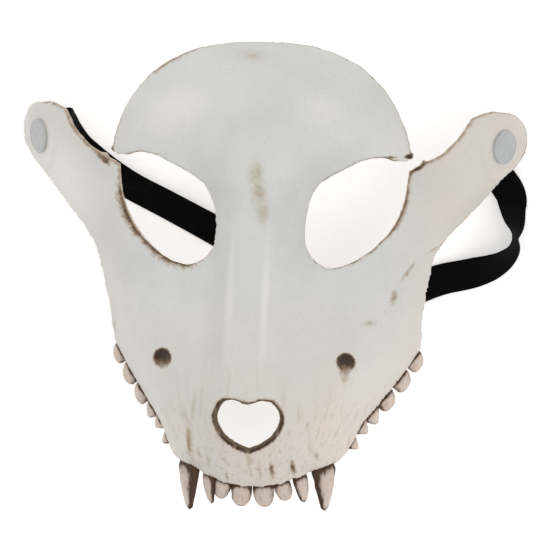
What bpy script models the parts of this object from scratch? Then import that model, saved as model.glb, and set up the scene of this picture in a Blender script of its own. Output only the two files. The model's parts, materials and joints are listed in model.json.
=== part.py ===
"""Skull mask: a hollow half mask of moulded foam in the form of an animal's skull, with an elastic strap.

The mask lies on its back rims, front upwards. X runs across the face, Y from the teeth to the
forehead, Z from the surface that it lies on up to the front of the muzzle. Left and right are the
viewer's. The shell is one wall: a front surface, lofted through tables of cross sections, and its
offset. The outline, the eye sockets, the nose hole and the rivet bores bound that wall.
"""

from collections import namedtuple
from math import ceil, cos, pi, radians, sin

import bpy
import numpy as np
from mathutils.geometry import delaunay_2d_cdt

# Driving sizes, in metres
HALF_WIDTH = 0.1305
HALF_HEIGHT = 0.118
DEPTH = 0.098
WALL = 0.0045
GAP = 0.0003

NOSE_HALF_WIDTH = 0.0174
NOSE_HEIGHT = 0.0265
PIT_RADIUS = 0.0046
PIT_DEPTH = 0.0032
VALLEY_DEPTH = 0.0010
CREASE_DEPTH = 0.0009
GROOVE_DEPTH = 0.0009

DISC_RADIUS = 0.00875
DISC_THICKNESS = 0.0012
DISC_BEVEL = 0.0003
BACK_DISC_RADIUS = 0.0060
POST_RADIUS = 0.0020
SEAT_RADIUS = 0.0138
SEAT_BLEND = 0.0060

STRAP_WIDTH = 0.016
STRAP_THICKNESS = 0.0012
STRAP_TAIL = 0.009

CANINE_LENGTH = 0.0219
CANINE_WIDTH = 0.0120
INCISOR_LENGTH = 0.0115
INCISOR_WIDTH = 0.0098
CHEEK_TOOTH_LENGTH = 0.0090
CHEEK_TOOTH_WIDTH = 0.0112
TOOTH_THICKNESS = 0.0054

# Mesh steps
RIM_STEP = 0.0058
SKIN_STEP = 0.0068
BORE_SIDES = 16
DISC_SIDES = 28
TOOTH_SIDES = 10
STRAP_STEP = 0.0055
SLOPE_REACH = 0.0004
RIM_CLEARANCE = 0.55
SCAN_STEPS = 240

# Cross sections, from the top down. A row gives its place up the mask, as a share of HALF_HEIGHT,
# then for each line that runs down the mask how far across it is, as a share of HALF_WIDTH, and
# how high, as a share of DEPTH.
Section = namedtuple("Section", "up across rise")

# Lines of the face and arms: middle, ridge, foot of the nose, socket, cheekbone, cheek, edge
FACE = (
    Section(0.746, (0, 0.09, 0.18, 0.46, 0.69, 0.86, 1.00),
            (0.816, 0.796, 0.714, 0.612, 0.490, 0.330, 0.030)),
    Section(0.593, (0, 0.09, 0.18, 0.46, 0.66, 0.81, 1.00),
            (0.816, 0.796, 0.694, 0.592, 0.510, 0.398, 0.040)),
    Section(0.458, (0, 0.09, 0.18, 0.43, 0.60, 0.77, 0.93),
            (0.816, 0.786, 0.653, 0.571, 0.510, 0.388, 0.143)),
    Section(0.322, (0, 0.09, 0.18, 0.40, 0.57, 0.70, 0.83),
            (0.827, 0.786, 0.612, 0.571, 0.515, 0.413, 0.184)),
    Section(0.169, (0, 0.09, 0.18, 0.34, 0.49, 0.61, 0.70),
            (0.847, 0.806, 0.597, 0.602, 0.546, 0.459, 0.327)),
    Section(0.000, (0, 0.09, 0.17, 0.29, 0.42, 0.55, 0.65),
            (0.888, 0.860, 0.704, 0.668, 0.607, 0.480, 0.286)),
    Section(-0.169, (0, 0.09, 0.16, 0.28, 0.40, 0.52, 0.62),
            (0.929, 0.910, 0.816, 0.770, 0.684, 0.480, 0.194)),
    Section(-0.339, (0, 0.09, 0.15, 0.26, 0.38, 0.48, 0.58),
            (0.969, 0.954, 0.878, 0.821, 0.724, 0.490, 0.138)),
    Section(-0.525, (0, 0.09, 0.15, 0.24, 0.33, 0.41, 0.47),
            (1.000, 0.985, 0.929, 0.857, 0.714, 0.490, 0.250)),
    Section(-0.678, (0, 0.08, 0.14, 0.21, 0.29, 0.34, 0.37),
            (0.964, 0.949, 0.903, 0.811, 0.653, 0.515, 0.383)),
    Section(-0.797, (0, 0.08, 0.13, 0.19, 0.25, 0.29, 0.32),
            (0.816, 0.806, 0.776, 0.714, 0.602, 0.531, 0.459)),
    Section(-0.915, (0, 0.07, 0.11, 0.16, 0.21, 0.25, 0.28),
            (0.633, 0.628, 0.607, 0.571, 0.526, 0.480, 0.429)),
)

# Lines of the forehead: middle, crest, boss, wing, edge
BROW = (
    Section(1.051, (0, 0.14, 0.31, 0.46, 0.61),
            (0.612, 0.612, 0.592, 0.541, 0.469)),
    Section(0.881, (0, 0.14, 0.31, 0.44, 0.57),
            (0.750, 0.750, 0.730, 0.679, 0.602)),
    Section(0.712, (0, 0.13, 0.28, 0.43, 0.56),
            (0.827, 0.829, 0.816, 0.760, 0.673)),
    Section(0.559, (0, 0.11, 0.25, 0.41, 0.58),
            (0.837, 0.829, 0.798, 0.745, 0.668)),
    Section(0.424, (0, 0.10, 0.20, 0.40, 0.58),
            (0.827, 0.801, 0.719, 0.699, 0.643)),
    Section(0.288, (0, 0.09, 0.18, 0.38, 0.58),
            (0.829, 0.786, 0.617, 0.633, 0.612)),
    Section(0.136, (0, 0.09, 0.17, 0.38, 0.58),
            (0.854, 0.811, 0.612, 0.612, 0.592)),
    Section(0.000, (0, 0.09, 0.17, 0.38, 0.58),
            (0.888, 0.860, 0.704, 0.612, 0.592)),
)

# The forehead passes into the face along a line through each eye socket: its height beside the
# nose and at the outer end, and how wide the change is at each, as shares of HALF_HEIGHT. Past
# its tips, from BROW_END across, only the arms are left.
PASSAGE_ACROSS = (0.19, 0.58)
PASSAGE_UP = (0.26, 0.50)
PASSAGE_WIDTH = (0.24, 0.03)
BROW_END = 0.595
BROW_FADE = 0.05

# Half of the outline as smooth runs between corners, clockwise from the top: shares of HALF_WIDTH
# and HALF_HEIGHT
FOREHEAD_EDGE = (
    (0.000, 1.000), (0.110, 0.997), (0.202, 0.982), (0.330, 0.932), (0.440, 0.846),
    (0.506, 0.758), (0.544, 0.674), (0.571, 0.589), (0.585, 0.508),
)
BROW_EDGE = (
    (0.585, 0.508), (0.552, 0.494), (0.475, 0.510), (0.406, 0.497), (0.345, 0.464),
    (0.276, 0.424), (0.227, 0.383), (0.199, 0.326), (0.184, 0.263), (0.178, 0.191),
    (0.185, 0.127), (0.218, 0.068), (0.264, 0.041), (0.352, 0.059), (0.414, 0.100),
    (0.460, 0.144), (0.510, 0.208), (0.536, 0.263), (0.556, 0.331), (0.571, 0.458),
)
ARM_INNER_EDGE = (
    (0.571, 0.458), (0.628, 0.492), (0.693, 0.532), (0.734, 0.576), (0.765, 0.620),
    (0.805, 0.695),
)
ARM_TIP_EDGE = (
    (0.805, 0.695), (0.885, 0.726), (0.966, 0.716), (0.998, 0.650), (0.996, 0.568),
    (0.966, 0.508), (0.900, 0.424), (0.838, 0.339), (0.771, 0.254), (0.706, 0.169),
    (0.664, 0.085), (0.646, 0.000), (0.630, -0.085), (0.618, -0.169), (0.613, -0.246),
    (0.608, -0.301),
)
GUM_EDGE = (
    (0.608, -0.301), (0.543, -0.415), (0.479, -0.515), (0.438, -0.576), (0.393, -0.646),
    (0.364, -0.716), (0.331, -0.781), (0.261, -0.815), (0.184, -0.858), (0.092, -0.895),
    (0.000, -0.905),
)
OUTLINE = (FOREHEAD_EDGE, BROW_EDGE, ARM_INNER_EDGE, ARM_TIP_EDGE, GUM_EDGE)

# Half of the heart-shaped nose hole, from its notch down to its point: shares of
# NOSE_HALF_WIDTH and NOSE_HEIGHT. The notch lies NOSE_UP up the mask.
NOSE_EDGE = (
    (0.00, 0.00), (0.37, 0.08), (0.72, 0.05), (0.98, -0.15), (0.99, -0.36), (0.80, -0.61),
    (0.43, -0.81), (0.00, -0.925),
)
NOSE_UP = -0.545

# Places as shares of HALF_WIDTH and HALF_HEIGHT
RIVET_PLACE = (0.912, 0.580)
PIT_PLACE = (0.355, -0.368)
CREASE = ((0.72, 0.17), (0.61, 0.10), (0.53, -0.03), (0.49, -0.15))
CREASE_WIDTH = 0.0045
RIDGE_SPREAD = 0.0085
RIDGE_TOP = 0.38
RIDGE_BOTTOM = -0.50

# Where a pit's floor ends and how wide its wall is, as shares of PIT_RADIUS. How far the valley of
# the nose and the root grooves take to fade, at the lower and upper end, as shares of HALF_HEIGHT.
PIT_FLOOR = 0.45
PIT_WALL = 0.75
VALLEY_FADES = (0.12, 0.20)
GROOVE_FADES = (0.05, 0.08)

# Rings of mesh points round a pit: share of PIT_RADIUS, and how many points
PIT_RINGS = ((0.45, 6), (0.85, 10), (1.25, 12))
PIT_CLEARANCE = 1.7

# Root grooves of the muzzle: across, lower end, upper end as shares, and half width in metres
GROOVES = (
    (0.045, -0.84, -0.76, 0.0012),
    (0.098, -0.84, -0.72, 0.0012),
    (0.150, -0.82, -0.68, 0.0012),
    (0.218, -0.80, -0.58, 0.0018),
    (0.335, -0.70, -0.50, 0.0016),
)

# Half the stretch of gum that gives a tooth its direction, how far past its middle it meets the rim,
# as a share of its width, and where along it its lean is reached, as a share of its length
GUM_REACH = 0.0015
TOOTH_FOOT = 0.54
LEAN_END = 0.3

# Teeth of one side: place along the gum (across share), length, width and thickness as shares of
# the named sizes, lean towards the front in degrees, and the form
Tooth = namedtuple("Tooth", "name across length width thickness lean form")
TEETH = (
    Tooth("incisor_{}_1", 0.041, INCISOR_LENGTH, INCISOR_WIDTH, 0.95, 32, "blade"),
    Tooth("incisor_{}_2", 0.114, 0.86 * INCISOR_LENGTH, 0.82 * INCISOR_WIDTH, 0.90, 32, "blade"),
    Tooth("incisor_{}_3", 0.184, 1.20 * INCISOR_LENGTH, 0.74 * INCISOR_WIDTH, 0.90, 34, "point"),
    Tooth("canine_{}", 0.272, CANINE_LENGTH, CANINE_WIDTH, 1.35, 30, "fang"),
    Tooth("cheek_tooth_{}_6", 0.368, 0.62 * CHEEK_TOOTH_LENGTH, 0.62 * CHEEK_TOOTH_WIDTH, 0.85, 30, "cusp"),
    Tooth("cheek_tooth_{}_5", 0.397, 0.80 * CHEEK_TOOTH_LENGTH, 0.76 * CHEEK_TOOTH_WIDTH, 0.90, 30, "cusp"),
    Tooth("cheek_tooth_{}_4", 0.434, 0.95 * CHEEK_TOOTH_LENGTH, 0.88 * CHEEK_TOOTH_WIDTH, 0.95, 30, "cusp"),
    Tooth("cheek_tooth_{}_3", 0.482, CHEEK_TOOTH_LENGTH, CHEEK_TOOTH_WIDTH, 1.00, 30, "molar"),
    Tooth("cheek_tooth_{}_2", 0.534, CHEEK_TOOTH_LENGTH, CHEEK_TOOTH_WIDTH, 1.00, 30, "molar"),
    Tooth("cheek_tooth_{}_1", 0.583, 0.90 * CHEEK_TOOTH_LENGTH, 0.92 * CHEEK_TOOTH_WIDTH, 0.90, 28, "molar"),
)

# Rings of a tooth from root to tip: how far along, width, thickness, and drift towards the middle
Ring = namedtuple("Ring", "along width thickness drift")
FORMS = {
    "fang": (
        Ring(0.00, 0.92, 0.90, 0.00), Ring(0.14, 1.00, 1.00, 0.01), Ring(0.36, 0.92, 0.92, 0.04),
        Ring(0.60, 0.75, 0.76, 0.09), Ring(0.82, 0.52, 0.54, 0.15), Ring(0.95, 0.28, 0.30, 0.19),
    ),
    "point": (
        Ring(0.00, 0.90, 0.90, 0.00), Ring(0.22, 1.00, 1.00, 0.00), Ring(0.50, 0.90, 0.86, 0.02),
        Ring(0.76, 0.66, 0.62, 0.05), Ring(0.94, 0.34, 0.32, 0.08),
    ),
    "blade": (
        Ring(0.00, 0.84, 0.88, 0.00), Ring(0.26, 1.00, 1.00, 0.00), Ring(0.58, 0.98, 0.88, 0.00),
        Ring(0.82, 0.80, 0.62, 0.00), Ring(0.96, 0.44, 0.34, 0.00),
    ),
    "cusp": (
        Ring(0.00, 0.90, 0.90, 0.00), Ring(0.24, 1.00, 1.00, 0.00), Ring(0.56, 0.74, 0.84, 0.00),
        Ring(0.82, 0.42, 0.56, 0.00), Ring(0.96, 0.18, 0.28, 0.00),
    ),
    "molar": (
        Ring(0.00, 0.88, 0.92, 0.00), Ring(0.26, 1.00, 1.00, 0.00), Ring(0.60, 0.95, 0.94, 0.00),
        Ring(0.86, 0.74, 0.68, 0.00), Ring(0.97, 0.42, 0.38, 0.00),
    ),
}

# The strap between the rivets: across and up as shares, how far it is lifted off the surface as a
# share of DEPTH, and the direction that its width points in
Lay = namedtuple("Lay", "across up lift width")
STRAP_ROUTE = (
    Lay(-0.821, 0.622, 0.247, (-0.12, 0.97, -0.15)),
    Lay(-0.800, 0.636, 0.240, (0.05, 0.98, 0.05)),
    Lay(-0.789, 0.622, 0.165, (0.10, 0.92, -0.25)),
    Lay(-0.783, 0.578, 0.075, (0.35, 0.78, -0.45)),
    Lay(-0.766, 0.530, 0.018, (0.58, 0.72, -0.32)),
    Lay(-0.727, 0.489, 0, (0.58, 0.78, 0)),
    Lay(-0.672, 0.448, 0, (0.50, 0.80, 0.25)),
    Lay(-0.587, 0.390, 0, (0.46, 0.80, 0.38)),
    Lay(-0.406, 0.290, 0, (0.45, 0.81, 0.38)),
    Lay(-0.230, 0.192, 0, (0.46, 0.83, 0.30)),
    Lay(-0.046, 0.085, 0, (0.45, 0.87, 0.15)),
    Lay(0.140, -0.025, 0, (0.40, 0.90, 0.04)),
    Lay(0.269, -0.076, 0, (0.25, 0.96, 0)),
    Lay(0.405, -0.093, 0, (0, 1, 0)),
    Lay(0.539, -0.055, 0, (-0.25, 0.97, 0)),
    Lay(0.665, 0.000, 0, (-0.30, 0.95, 0.12)),
    Lay(0.808, 0.039, 0, (-0.26, 0.90, 0.34)),
    Lay(0.876, 0.067, 0, (-0.34, 0.71, 0.62)),
    Lay(0.926, 0.103, 0, (-0.37, 0.43, 0.82)),
    Lay(0.953, 0.140, 0, (-0.31, 0.20, 0.93)),
    Lay(0.962, 0.190, 0, (-0.12, 0.02, 0.99)),
    Lay(0.956, 0.258, 0, (-0.58, -0.06, 0.81)),
    Lay(0.946, 0.318, 0, (-0.74, -0.23, 0.63)),
    Lay(0.935, 0.381, 0.004, (-0.87, -0.38, 0.30)),
    Lay(0.915, 0.419, 0.022, (-0.84, -0.45, 0.25)),
    Lay(0.889, 0.455, 0.037, (-0.84, -0.42, 0.25)),
    Lay(0.871, 0.487, 0.048, (-0.75, -0.42, 0.40)),
    Lay(0.867, 0.510, 0.064, (-0.55, -0.45, 0.68)),
)
LEFT_STRAP_TURN = 15
RIGHT_STRAP_TURN = 30

# Stops of the strap's flat ends along its line through each rivet, as shares of STRAP_TAIL
STRAP_LEFT_FLAT = (-1, -0.33, 0.33, 0.80, 0.95)
STRAP_RIGHT_FLAT = (-0.84, -0.74, 0.33, 1)

PAINTS = {
    # colour (linear), metallic, roughness
    "moulded_foam": ((0.62, 0.60, 0.56), 0.0, 0.55),
    "tooth_paint": ((0.48, 0.40, 0.32), 0.0, 0.45),
    "rivet_plastic": ((0.46, 0.47, 0.47), 0.0, 0.35),
    "woven_elastic": ((0.006, 0.006, 0.006), 0.0, 0.85),
}


def curve_at(knots, values, place, flat_start=False):
    """Read smooth curves through (knots, values), one row to a curve, each at its own place.

    The slope at a knot is the mean of its two sides, weighted to the nearer one. Beyond the end
    knots a curve runs on straight."""
    run = np.diff(knots, axis=1)
    rise = np.diff(values, axis=1) / run
    inner = (rise[:, :-1] * run[:, 1:] + rise[:, 1:] * run[:, :-1]) / (run[:, :-1] + run[:, 1:])
    first = np.zeros_like(rise[:, :1]) if flat_start else rise[:, :1]
    slope = np.concatenate([first, inner, rise[:, -1:]], axis=1)
    row = np.arange(len(place))
    cell = np.clip((knots <= place[:, None]).sum(axis=1) - 1, 0, run.shape[1] - 1)
    width = run[row, cell]
    whole = (place - knots[row, cell]) / width
    t = np.clip(whole, 0, 1)
    start, end = values[row, cell], values[row, cell + 1]
    leave, arrive = slope[row, cell] * width, slope[row, cell + 1] * width
    curve = start + t * leave + t**2 * (3 * (end - start) - 2 * leave - arrive)
    curve += t**3 * (2 * (start - end) + leave + arrive)
    return curve + (whole - t) * np.where(whole > 1, arrive, leave)


def smooth(t):
    """Ease from 0 to 1 while t goes from 0 to 1."""
    t = np.clip(t, 0, 1)
    return t * t * (3 - 2 * t)


def loft(sections, across, up):
    """Height of the surface through the sections, at shares across and up."""
    ups = np.broadcast_to([s.up for s in sections[::-1]], (len(up), len(sections)))
    lines = []
    for name in ("across", "rise"):
        table = np.array([getattr(s, name) for s in sections[::-1]], float)
        columns = [np.broadcast_to(column, ups.shape) for column in table.T]
        lines.append(np.stack([curve_at(ups, column, up) for column in columns], axis=1))
    return DEPTH * curve_at(lines[0], lines[1], across, flat_start=True)


def bare_height(x, y):
    """Height of the front surface without its rivet seats and relief."""
    across, up = np.abs(x) / HALF_WIDTH, y / HALF_HEIGHT
    face, brow = loft(FACE, across, up), loft(BROW, across, up)
    outward = (across - PASSAGE_ACROSS[0]) / (PASSAGE_ACROSS[1] - PASSAGE_ACROSS[0])
    outward = np.clip(outward, 0, 1)
    middle = PASSAGE_UP[0] + (PASSAGE_UP[1] - PASSAGE_UP[0]) * outward
    width = PASSAGE_WIDTH[0] + (PASSAGE_WIDTH[1] - PASSAGE_WIDTH[0]) * outward
    share = smooth((up - middle) / width + 0.5) * (1 - smooth((across - BROW_END) / BROW_FADE))
    return face + (brow - face) * share


def slopes(height, x, y, reach=SLOPE_REACH):
    """Slopes of a height function along x and y."""
    along_x = (height(x + reach, y) - height(x - reach, y)) / (2 * reach)
    along_y = (height(x, y + reach) - height(x, y - reach)) / (2 * reach)
    return along_x, along_y


def height(x, y):
    """Height of the front surface, with a flat seat for each rivet."""
    surface = bare_height(x, y)
    seat_x, seat_y = RIVET_PLACE[0] * HALF_WIDTH, RIVET_PLACE[1] * HALF_HEIGHT
    centre = np.array([seat_x]), np.array([seat_y])
    lean_x, lean_y = slopes(bare_height, *centre, reach=SEAT_RADIUS / 2)
    run_x, run_y = np.abs(x) - seat_x, y - seat_y
    rise = lean_x * run_x + lean_y * run_y
    distance = np.sqrt(run_x**2 + run_y**2 + rise**2)
    flat = 1 - smooth((distance - SEAT_RADIUS) / SEAT_BLEND)
    return surface + (bare_height(*centre) + rise - surface) * flat


def relief(x, y):
    """Depth of the pits, valley, creases and grooves in the front surface."""
    across, up = np.abs(x), y / HALF_HEIGHT
    pit_x, pit_y = PIT_PLACE[0] * HALF_WIDTH, PIT_PLACE[1] * HALF_HEIGHT
    from_pit = np.hypot(across - pit_x, y - pit_y) / PIT_RADIUS
    depth = PIT_DEPTH * (1 - smooth((from_pit - PIT_FLOOR) / PIT_WALL))

    fade = smooth((up - RIDGE_BOTTOM) / VALLEY_FADES[0]) * smooth((RIDGE_TOP - up) / VALLEY_FADES[1])
    depth = depth + VALLEY_DEPTH * fade * (1 - smooth(across / RIDGE_SPREAD))

    crease = np.array(CREASE) * (HALF_WIDTH, HALF_HEIGHT)
    nearest = np.full(len(x), np.inf)
    for start, end in zip(crease[:-1], crease[1:]):
        run = end - start
        share = ((across - start[0]) * run[0] + (y - start[1]) * run[1]) / (run @ run)
        share = np.clip(share, 0, 1)
        gap = np.hypot(across - start[0] - share * run[0], y - start[1] - share * run[1])
        nearest = np.minimum(nearest, gap)
    depth = depth + CREASE_DEPTH * (1 - smooth(nearest / CREASE_WIDTH))

    for place, low, high, width in GROOVES:
        long = smooth((up - low) / GROOVE_FADES[0]) * smooth((high - up) / GROOVE_FADES[1])
        depth = depth + GROOVE_DEPTH * long * (1 - smooth(np.abs(across - place * HALF_WIDTH) / width))
    return depth


def place_on(points):
    """Points of the front surface above (x, y), without relief, and the normals there."""
    x, y = points[:, 0], points[:, 1]
    lean_x, lean_y = slopes(height, x, y)
    normals = np.stack([-lean_x, -lean_y, np.ones(len(x))], axis=1)
    normals /= np.linalg.norm(normals, axis=1)[:, None]
    return np.column_stack([x, y, height(x, y)]), normals


def spaced(points, step):
    """Points along a polyline of (x, y) at even steps over the front surface, without its end."""
    solid, _ = place_on(points)
    length = np.concatenate([[0], np.cumsum(np.linalg.norm(np.diff(solid, axis=0), axis=1))])
    count = max(2, round(length[-1] / step))
    stops = np.linspace(0, length[-1], count + 1)[:-1]
    return np.column_stack([np.interp(stops, length, column) for column in points.T])


def fine_curve(points, per_span=24):
    """A dense smooth curve through a few points."""
    points = np.array(points, float)
    knots = np.concatenate([[0], np.cumsum(np.linalg.norm(np.diff(points, axis=0), axis=1))])
    stops = np.linspace(0, knots[-1], per_span * (len(points) - 1) + 1)
    rows = np.broadcast_to(knots, (len(stops), len(knots)))
    columns = [np.broadcast_to(column, rows.shape) for column in points.T]
    return np.column_stack([curve_at(rows, column, stops) for column in columns])


def mirrored_loop(runs, step):
    """A closed loop from the runs of its right half and their mirror images."""
    right = [spaced(run, step) for run in runs]
    left = [spaced(run[::-1] * (-1, 1), step) for run in runs[::-1]]
    return np.concatenate(right + left)


def outline_loop(step):
    runs = [fine_curve(np.array(run) * (HALF_WIDTH, HALF_HEIGHT)) for run in OUTLINE]
    return mirrored_loop(runs, step)


def nose_loop(step):
    half = np.array(NOSE_EDGE) * (NOSE_HALF_WIDTH, NOSE_HEIGHT) + (0, NOSE_UP * HALF_HEIGHT)
    return mirrored_loop([fine_curve(half)], step)


def rivet_frame(side):
    """Centre of a rivet's seat, its outward normal, and the directions up the arm and along Y."""
    centre = np.array([[side * RIVET_PLACE[0] * HALF_WIDTH, RIVET_PLACE[1] * HALF_HEIGHT]])
    point, normal = place_on(centre)
    up_arm = np.cross(normal[0], (0, side, 0))
    up_arm /= np.linalg.norm(up_arm)
    return point[0], normal[0], up_arm, np.cross(up_arm, normal[0]) * side


def bore_loop(side):
    centre, _, up_arm, along = rivet_frame(side)
    turns = np.arange(BORE_SIDES) * 2 * pi / BORE_SIDES
    radius = POST_RADIUS + GAP
    return centre[:2] + radius * (np.outer(np.cos(turns), up_arm) + np.outer(np.sin(turns), along))[:, :2]


def inside(points, loops):
    """Whether each point lies within an odd number of the loops."""
    odd = np.zeros(len(points), bool)
    x, y = points[:, 0, None], points[:, 1, None]
    for loop in loops:
        a, b = loop, np.roll(loop, -1, axis=0)
        crosses = (a[:, 1] > y) != (b[:, 1] > y)
        with np.errstate(divide="ignore", invalid="ignore"):
            where = a[:, 0] + (y - a[:, 1]) * (b[:, 0] - a[:, 0]) / (b[:, 1] - a[:, 1])
        odd ^= ((crosses & (x < where)).sum(axis=1) % 2).astype(bool)
    return odd


def skin_points(loops, step):
    """Points over the front surface in even rows, clear of the loops."""
    lows, highs = loops[0].min(axis=0), loops[0].max(axis=0)
    ups = np.linspace(lows[1], highs[1], SCAN_STEPS)
    spine = np.column_stack([np.full(SCAN_STEPS, PASSAGE_ACROSS[0] * HALF_WIDTH), ups])
    rows = spaced(spine, step * sin(pi / 3))[1:, 1]
    points = []
    for number, y in enumerate(rows):
        right = np.column_stack([np.linspace(0, highs[0], SCAN_STEPS), np.full(SCAN_STEPS, y)])
        half = spaced(right, step)
        if number % 2:
            half = (half[:-1] + half[1:]) / 2
        points += [half, half[half[:, 0] > 0] * (-1, 1)]
    points = np.concatenate(points)
    points = points[inside(points, loops)]
    edge, _ = place_on(np.concatenate(loops))
    solid, _ = place_on(points)
    clear = [np.linalg.norm(edge - point, axis=1).min() > RIM_CLEARANCE * step for point in solid]
    return points[np.array(clear)]


def triangulate(loops, points):
    """Triangles between closed loops, through the inner points, seen from above as anticlockwise."""
    corners = np.concatenate(loops + [points])
    edges, start = [], 0
    for loop in loops:
        count = len(loop)
        edges += [(start + i, start + (i + 1) % count) for i in range(count)]
        start += count
    found = delaunay_2d_cdt([tuple(c) for c in corners], edges, [], 0, 1e-9, False)
    corners = np.array([tuple(c) for c in found[0]])
    faces = np.array(found[2])
    faces = faces[inside(corners[faces].mean(axis=1), loops)]
    a, b, c = (corners[faces[:, i]] for i in range(3))
    turn = (b - a)[:, 0] * (c - a)[:, 1] - (b - a)[:, 1] * (c - a)[:, 0]
    faces[turn < 0] = faces[turn < 0][:, ::-1]
    return corners, faces


def close_wall(top, bottom, faces):
    """One closed body between a top and a bottom sheet that share their triangles."""
    ends = np.concatenate([faces[:, [0, 1]], faces[:, [1, 2]], faces[:, [2, 0]]])
    whole = {tuple(end) for end in ends}
    border = np.array([end for end in ends if (end[1], end[0]) not in whole])
    below = len(top)
    rim = [
        np.column_stack([border[:, 1], border[:, 0], border[:, 0] + below]),
        np.column_stack([border[:, 1], border[:, 0] + below, border[:, 1] + below]),
    ]
    return np.concatenate([top, bottom]), np.concatenate([faces, faces[:, ::-1] + below] + rim)


def shell():
    loops = [outline_loop(RIM_STEP), nose_loop(RIM_STEP * 0.6), bore_loop(-1), bore_loop(1)]
    points = skin_points(loops, SKIN_STEP)
    rings = []
    for side in (-1, 1):
        pit = np.array(PIT_PLACE) * (side * HALF_WIDTH, HALF_HEIGHT)
        points = points[np.hypot(*(points - pit).T) > PIT_CLEARANCE * PIT_RADIUS]
        rings.append(pit[None])
        for share, count in PIT_RINGS:
            turns = (np.arange(count) + 0.5 * (count % 4)) * 2 * pi / count
            ring = share * PIT_RADIUS * np.column_stack([np.cos(turns), np.sin(turns)])
            rings.append(pit + ring)
    corners, faces = triangulate(loops, np.concatenate([points] + rings))
    front, normals = place_on(corners)
    back = front - WALL * normals
    front[:, 2] -= relief(corners[:, 0], corners[:, 1])
    return close_wall(front, back, faces)


def rim_points(per_span=8):
    """Points over the shell's outer rim, on its straight facets."""
    front, normals = place_on(outline_loop(RIM_STEP))
    points = []
    for share in (0, 0.5, 1):
        line = front - share * WALL * normals
        following = np.roll(line, -1, axis=0)
        points += [line + (following - line) * part / per_span for part in range(per_span)]
    return np.concatenate(points)


def tooth(row, side, rim):
    """A tooth that stands on the shell's rim along the gum, a gap away from it."""
    gum = fine_curve(np.array(GUM_EDGE) * (HALF_WIDTH, HALF_HEIGHT))[::-1]
    across = row.across * HALF_WIDTH + np.array((-GUM_REACH, 0, GUM_REACH))
    line, normals = place_on(np.column_stack([side * across, np.interp(across, *gum.T)]))
    normal = normals[1]
    run = line[2] - line[0]
    run -= normal * (run @ normal)
    run /= np.linalg.norm(run)
    out = np.cross(normal, run)
    out *= -1 if out[1] > 0 else 1
    root = line[1] - normal * WALL / 2
    near = rim - root
    beside = np.abs(near @ run) < TOOTH_FOOT * row.width
    beside &= np.abs(near @ normal) < 1.5 * WALL
    beside &= np.abs(near @ out) < 2 * WALL
    root = root + out * ((near[beside] @ out).max() + GAP)
    lean = radians(row.lean)
    axis = cos(lean) * out + sin(lean) * normal
    towards_middle = run * (-1 if run[0] * side > 0 else 1)
    thick = TOOTH_THICKNESS * row.thickness
    turns = np.arange(TOOTH_SIDES) * 2 * pi / TOOTH_SIDES
    corners = []
    for ring in FORMS[row.form]:
        share = min(1, ring.along / LEAN_END)
        facing = (1 - share) * out + share * axis
        facing /= np.linalg.norm(facing)
        across_tooth = np.cross(facing, run)
        middle = root + axis * ring.along * row.length + towards_middle * ring.drift * row.length
        width = np.outer(np.cos(turns), run) * ring.width * row.width / 2
        depth = np.outer(np.sin(turns), across_tooth) * ring.thickness * thick / 2
        corners.append(middle + width + depth)
    last = FORMS[row.form][-1]
    tip = root + axis * row.length + towards_middle * last.drift * row.length
    return ring_body(np.array(corners), root, tip)


def ring_body(rings, first, last):
    """A closed body through rings of corners, with a point in the middle of each end."""
    count, sides, _ = rings.shape
    faces = []
    for i in range(sides):
        j = (i + 1) % sides
        for ring in range(count - 1):
            a, b = ring * sides + i, ring * sides + j
            faces += [(a, b, b + sides), (a, b + sides, a + sides)]
        faces.append((count * sides, j, i))
        faces.append((count * sides + 1, (count - 1) * sides + i, (count - 1) * sides + j))
    corners = np.concatenate([rings.reshape(-1, 3), [first], [last]])
    faces = np.array(faces)
    a, b, c = (corners[faces[:, i]] for i in range(3))
    if np.einsum("ij,ij->", a, np.cross(b, c)) < 0:
        faces = faces[:, ::-1]
    return corners, faces


def rivet(side):
    """A flat disc on the arm, a post through arm and strap, and a smaller disc behind them."""
    centre, normal, up_arm, along = rivet_frame(side)
    back = -(WALL + STRAP_THICKNESS + 2 * GAP)
    front = GAP + DISC_THICKNESS
    profile = (
        (DISC_RADIUS - DISC_BEVEL, front), (DISC_RADIUS, front - DISC_BEVEL), (DISC_RADIUS, GAP),
        (POST_RADIUS, GAP), (POST_RADIUS, back), (BACK_DISC_RADIUS, back),
        (BACK_DISC_RADIUS, back - DISC_THICKNESS),
    )
    turns = np.arange(DISC_SIDES) * 2 * pi / DISC_SIDES
    circle = np.outer(np.cos(turns), up_arm) + np.outer(np.sin(turns), along)
    rings = np.array([centre + radius * circle + rise * normal for radius, rise in profile])
    return ring_body(rings, centre + normal * front, centre + normal * (back - DISC_THICKNESS))


def strap_stops(lift):
    """Places and width directions that the strap runs through, from the left end to the right."""
    depth_in = WALL + GAP + STRAP_THICKNESS / 2
    ends = []
    for side in (-1, 1):
        centre, normal, up_arm, along = rivet_frame(side)
        centre = centre + (0, 0, lift) - normal * depth_in
        if side < 0:
            turn = radians(LEFT_STRAP_TURN)
            heading = cos(turn) * up_arm + sin(turn) * along
        else:
            turn = radians(RIGHT_STRAP_TURN)
            heading = cos(turn) * along + sin(turn) * up_arm
        width = np.cross(normal, heading)
        shares = STRAP_LEFT_FLAT if side < 0 else STRAP_RIGHT_FLAT
        ends.append(([centre + heading * STRAP_TAIL * d for d in shares], [width] * len(shares)))
    (left, left_width), (right, right_width) = ends
    middle, widths = [], []
    for lay in STRAP_ROUTE:
        width = np.array(lay.width) / np.linalg.norm(lay.width)
        stand = STRAP_WIDTH / 2 * abs(width[2]) + STRAP_THICKNESS / 2
        middle.append(np.array((lay.across * HALF_WIDTH, lay.up * HALF_HEIGHT, lay.lift * DEPTH + stand)))
        widths.append(width)
    return np.array(left + middle + right), np.array(left_width + widths + right_width)


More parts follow.
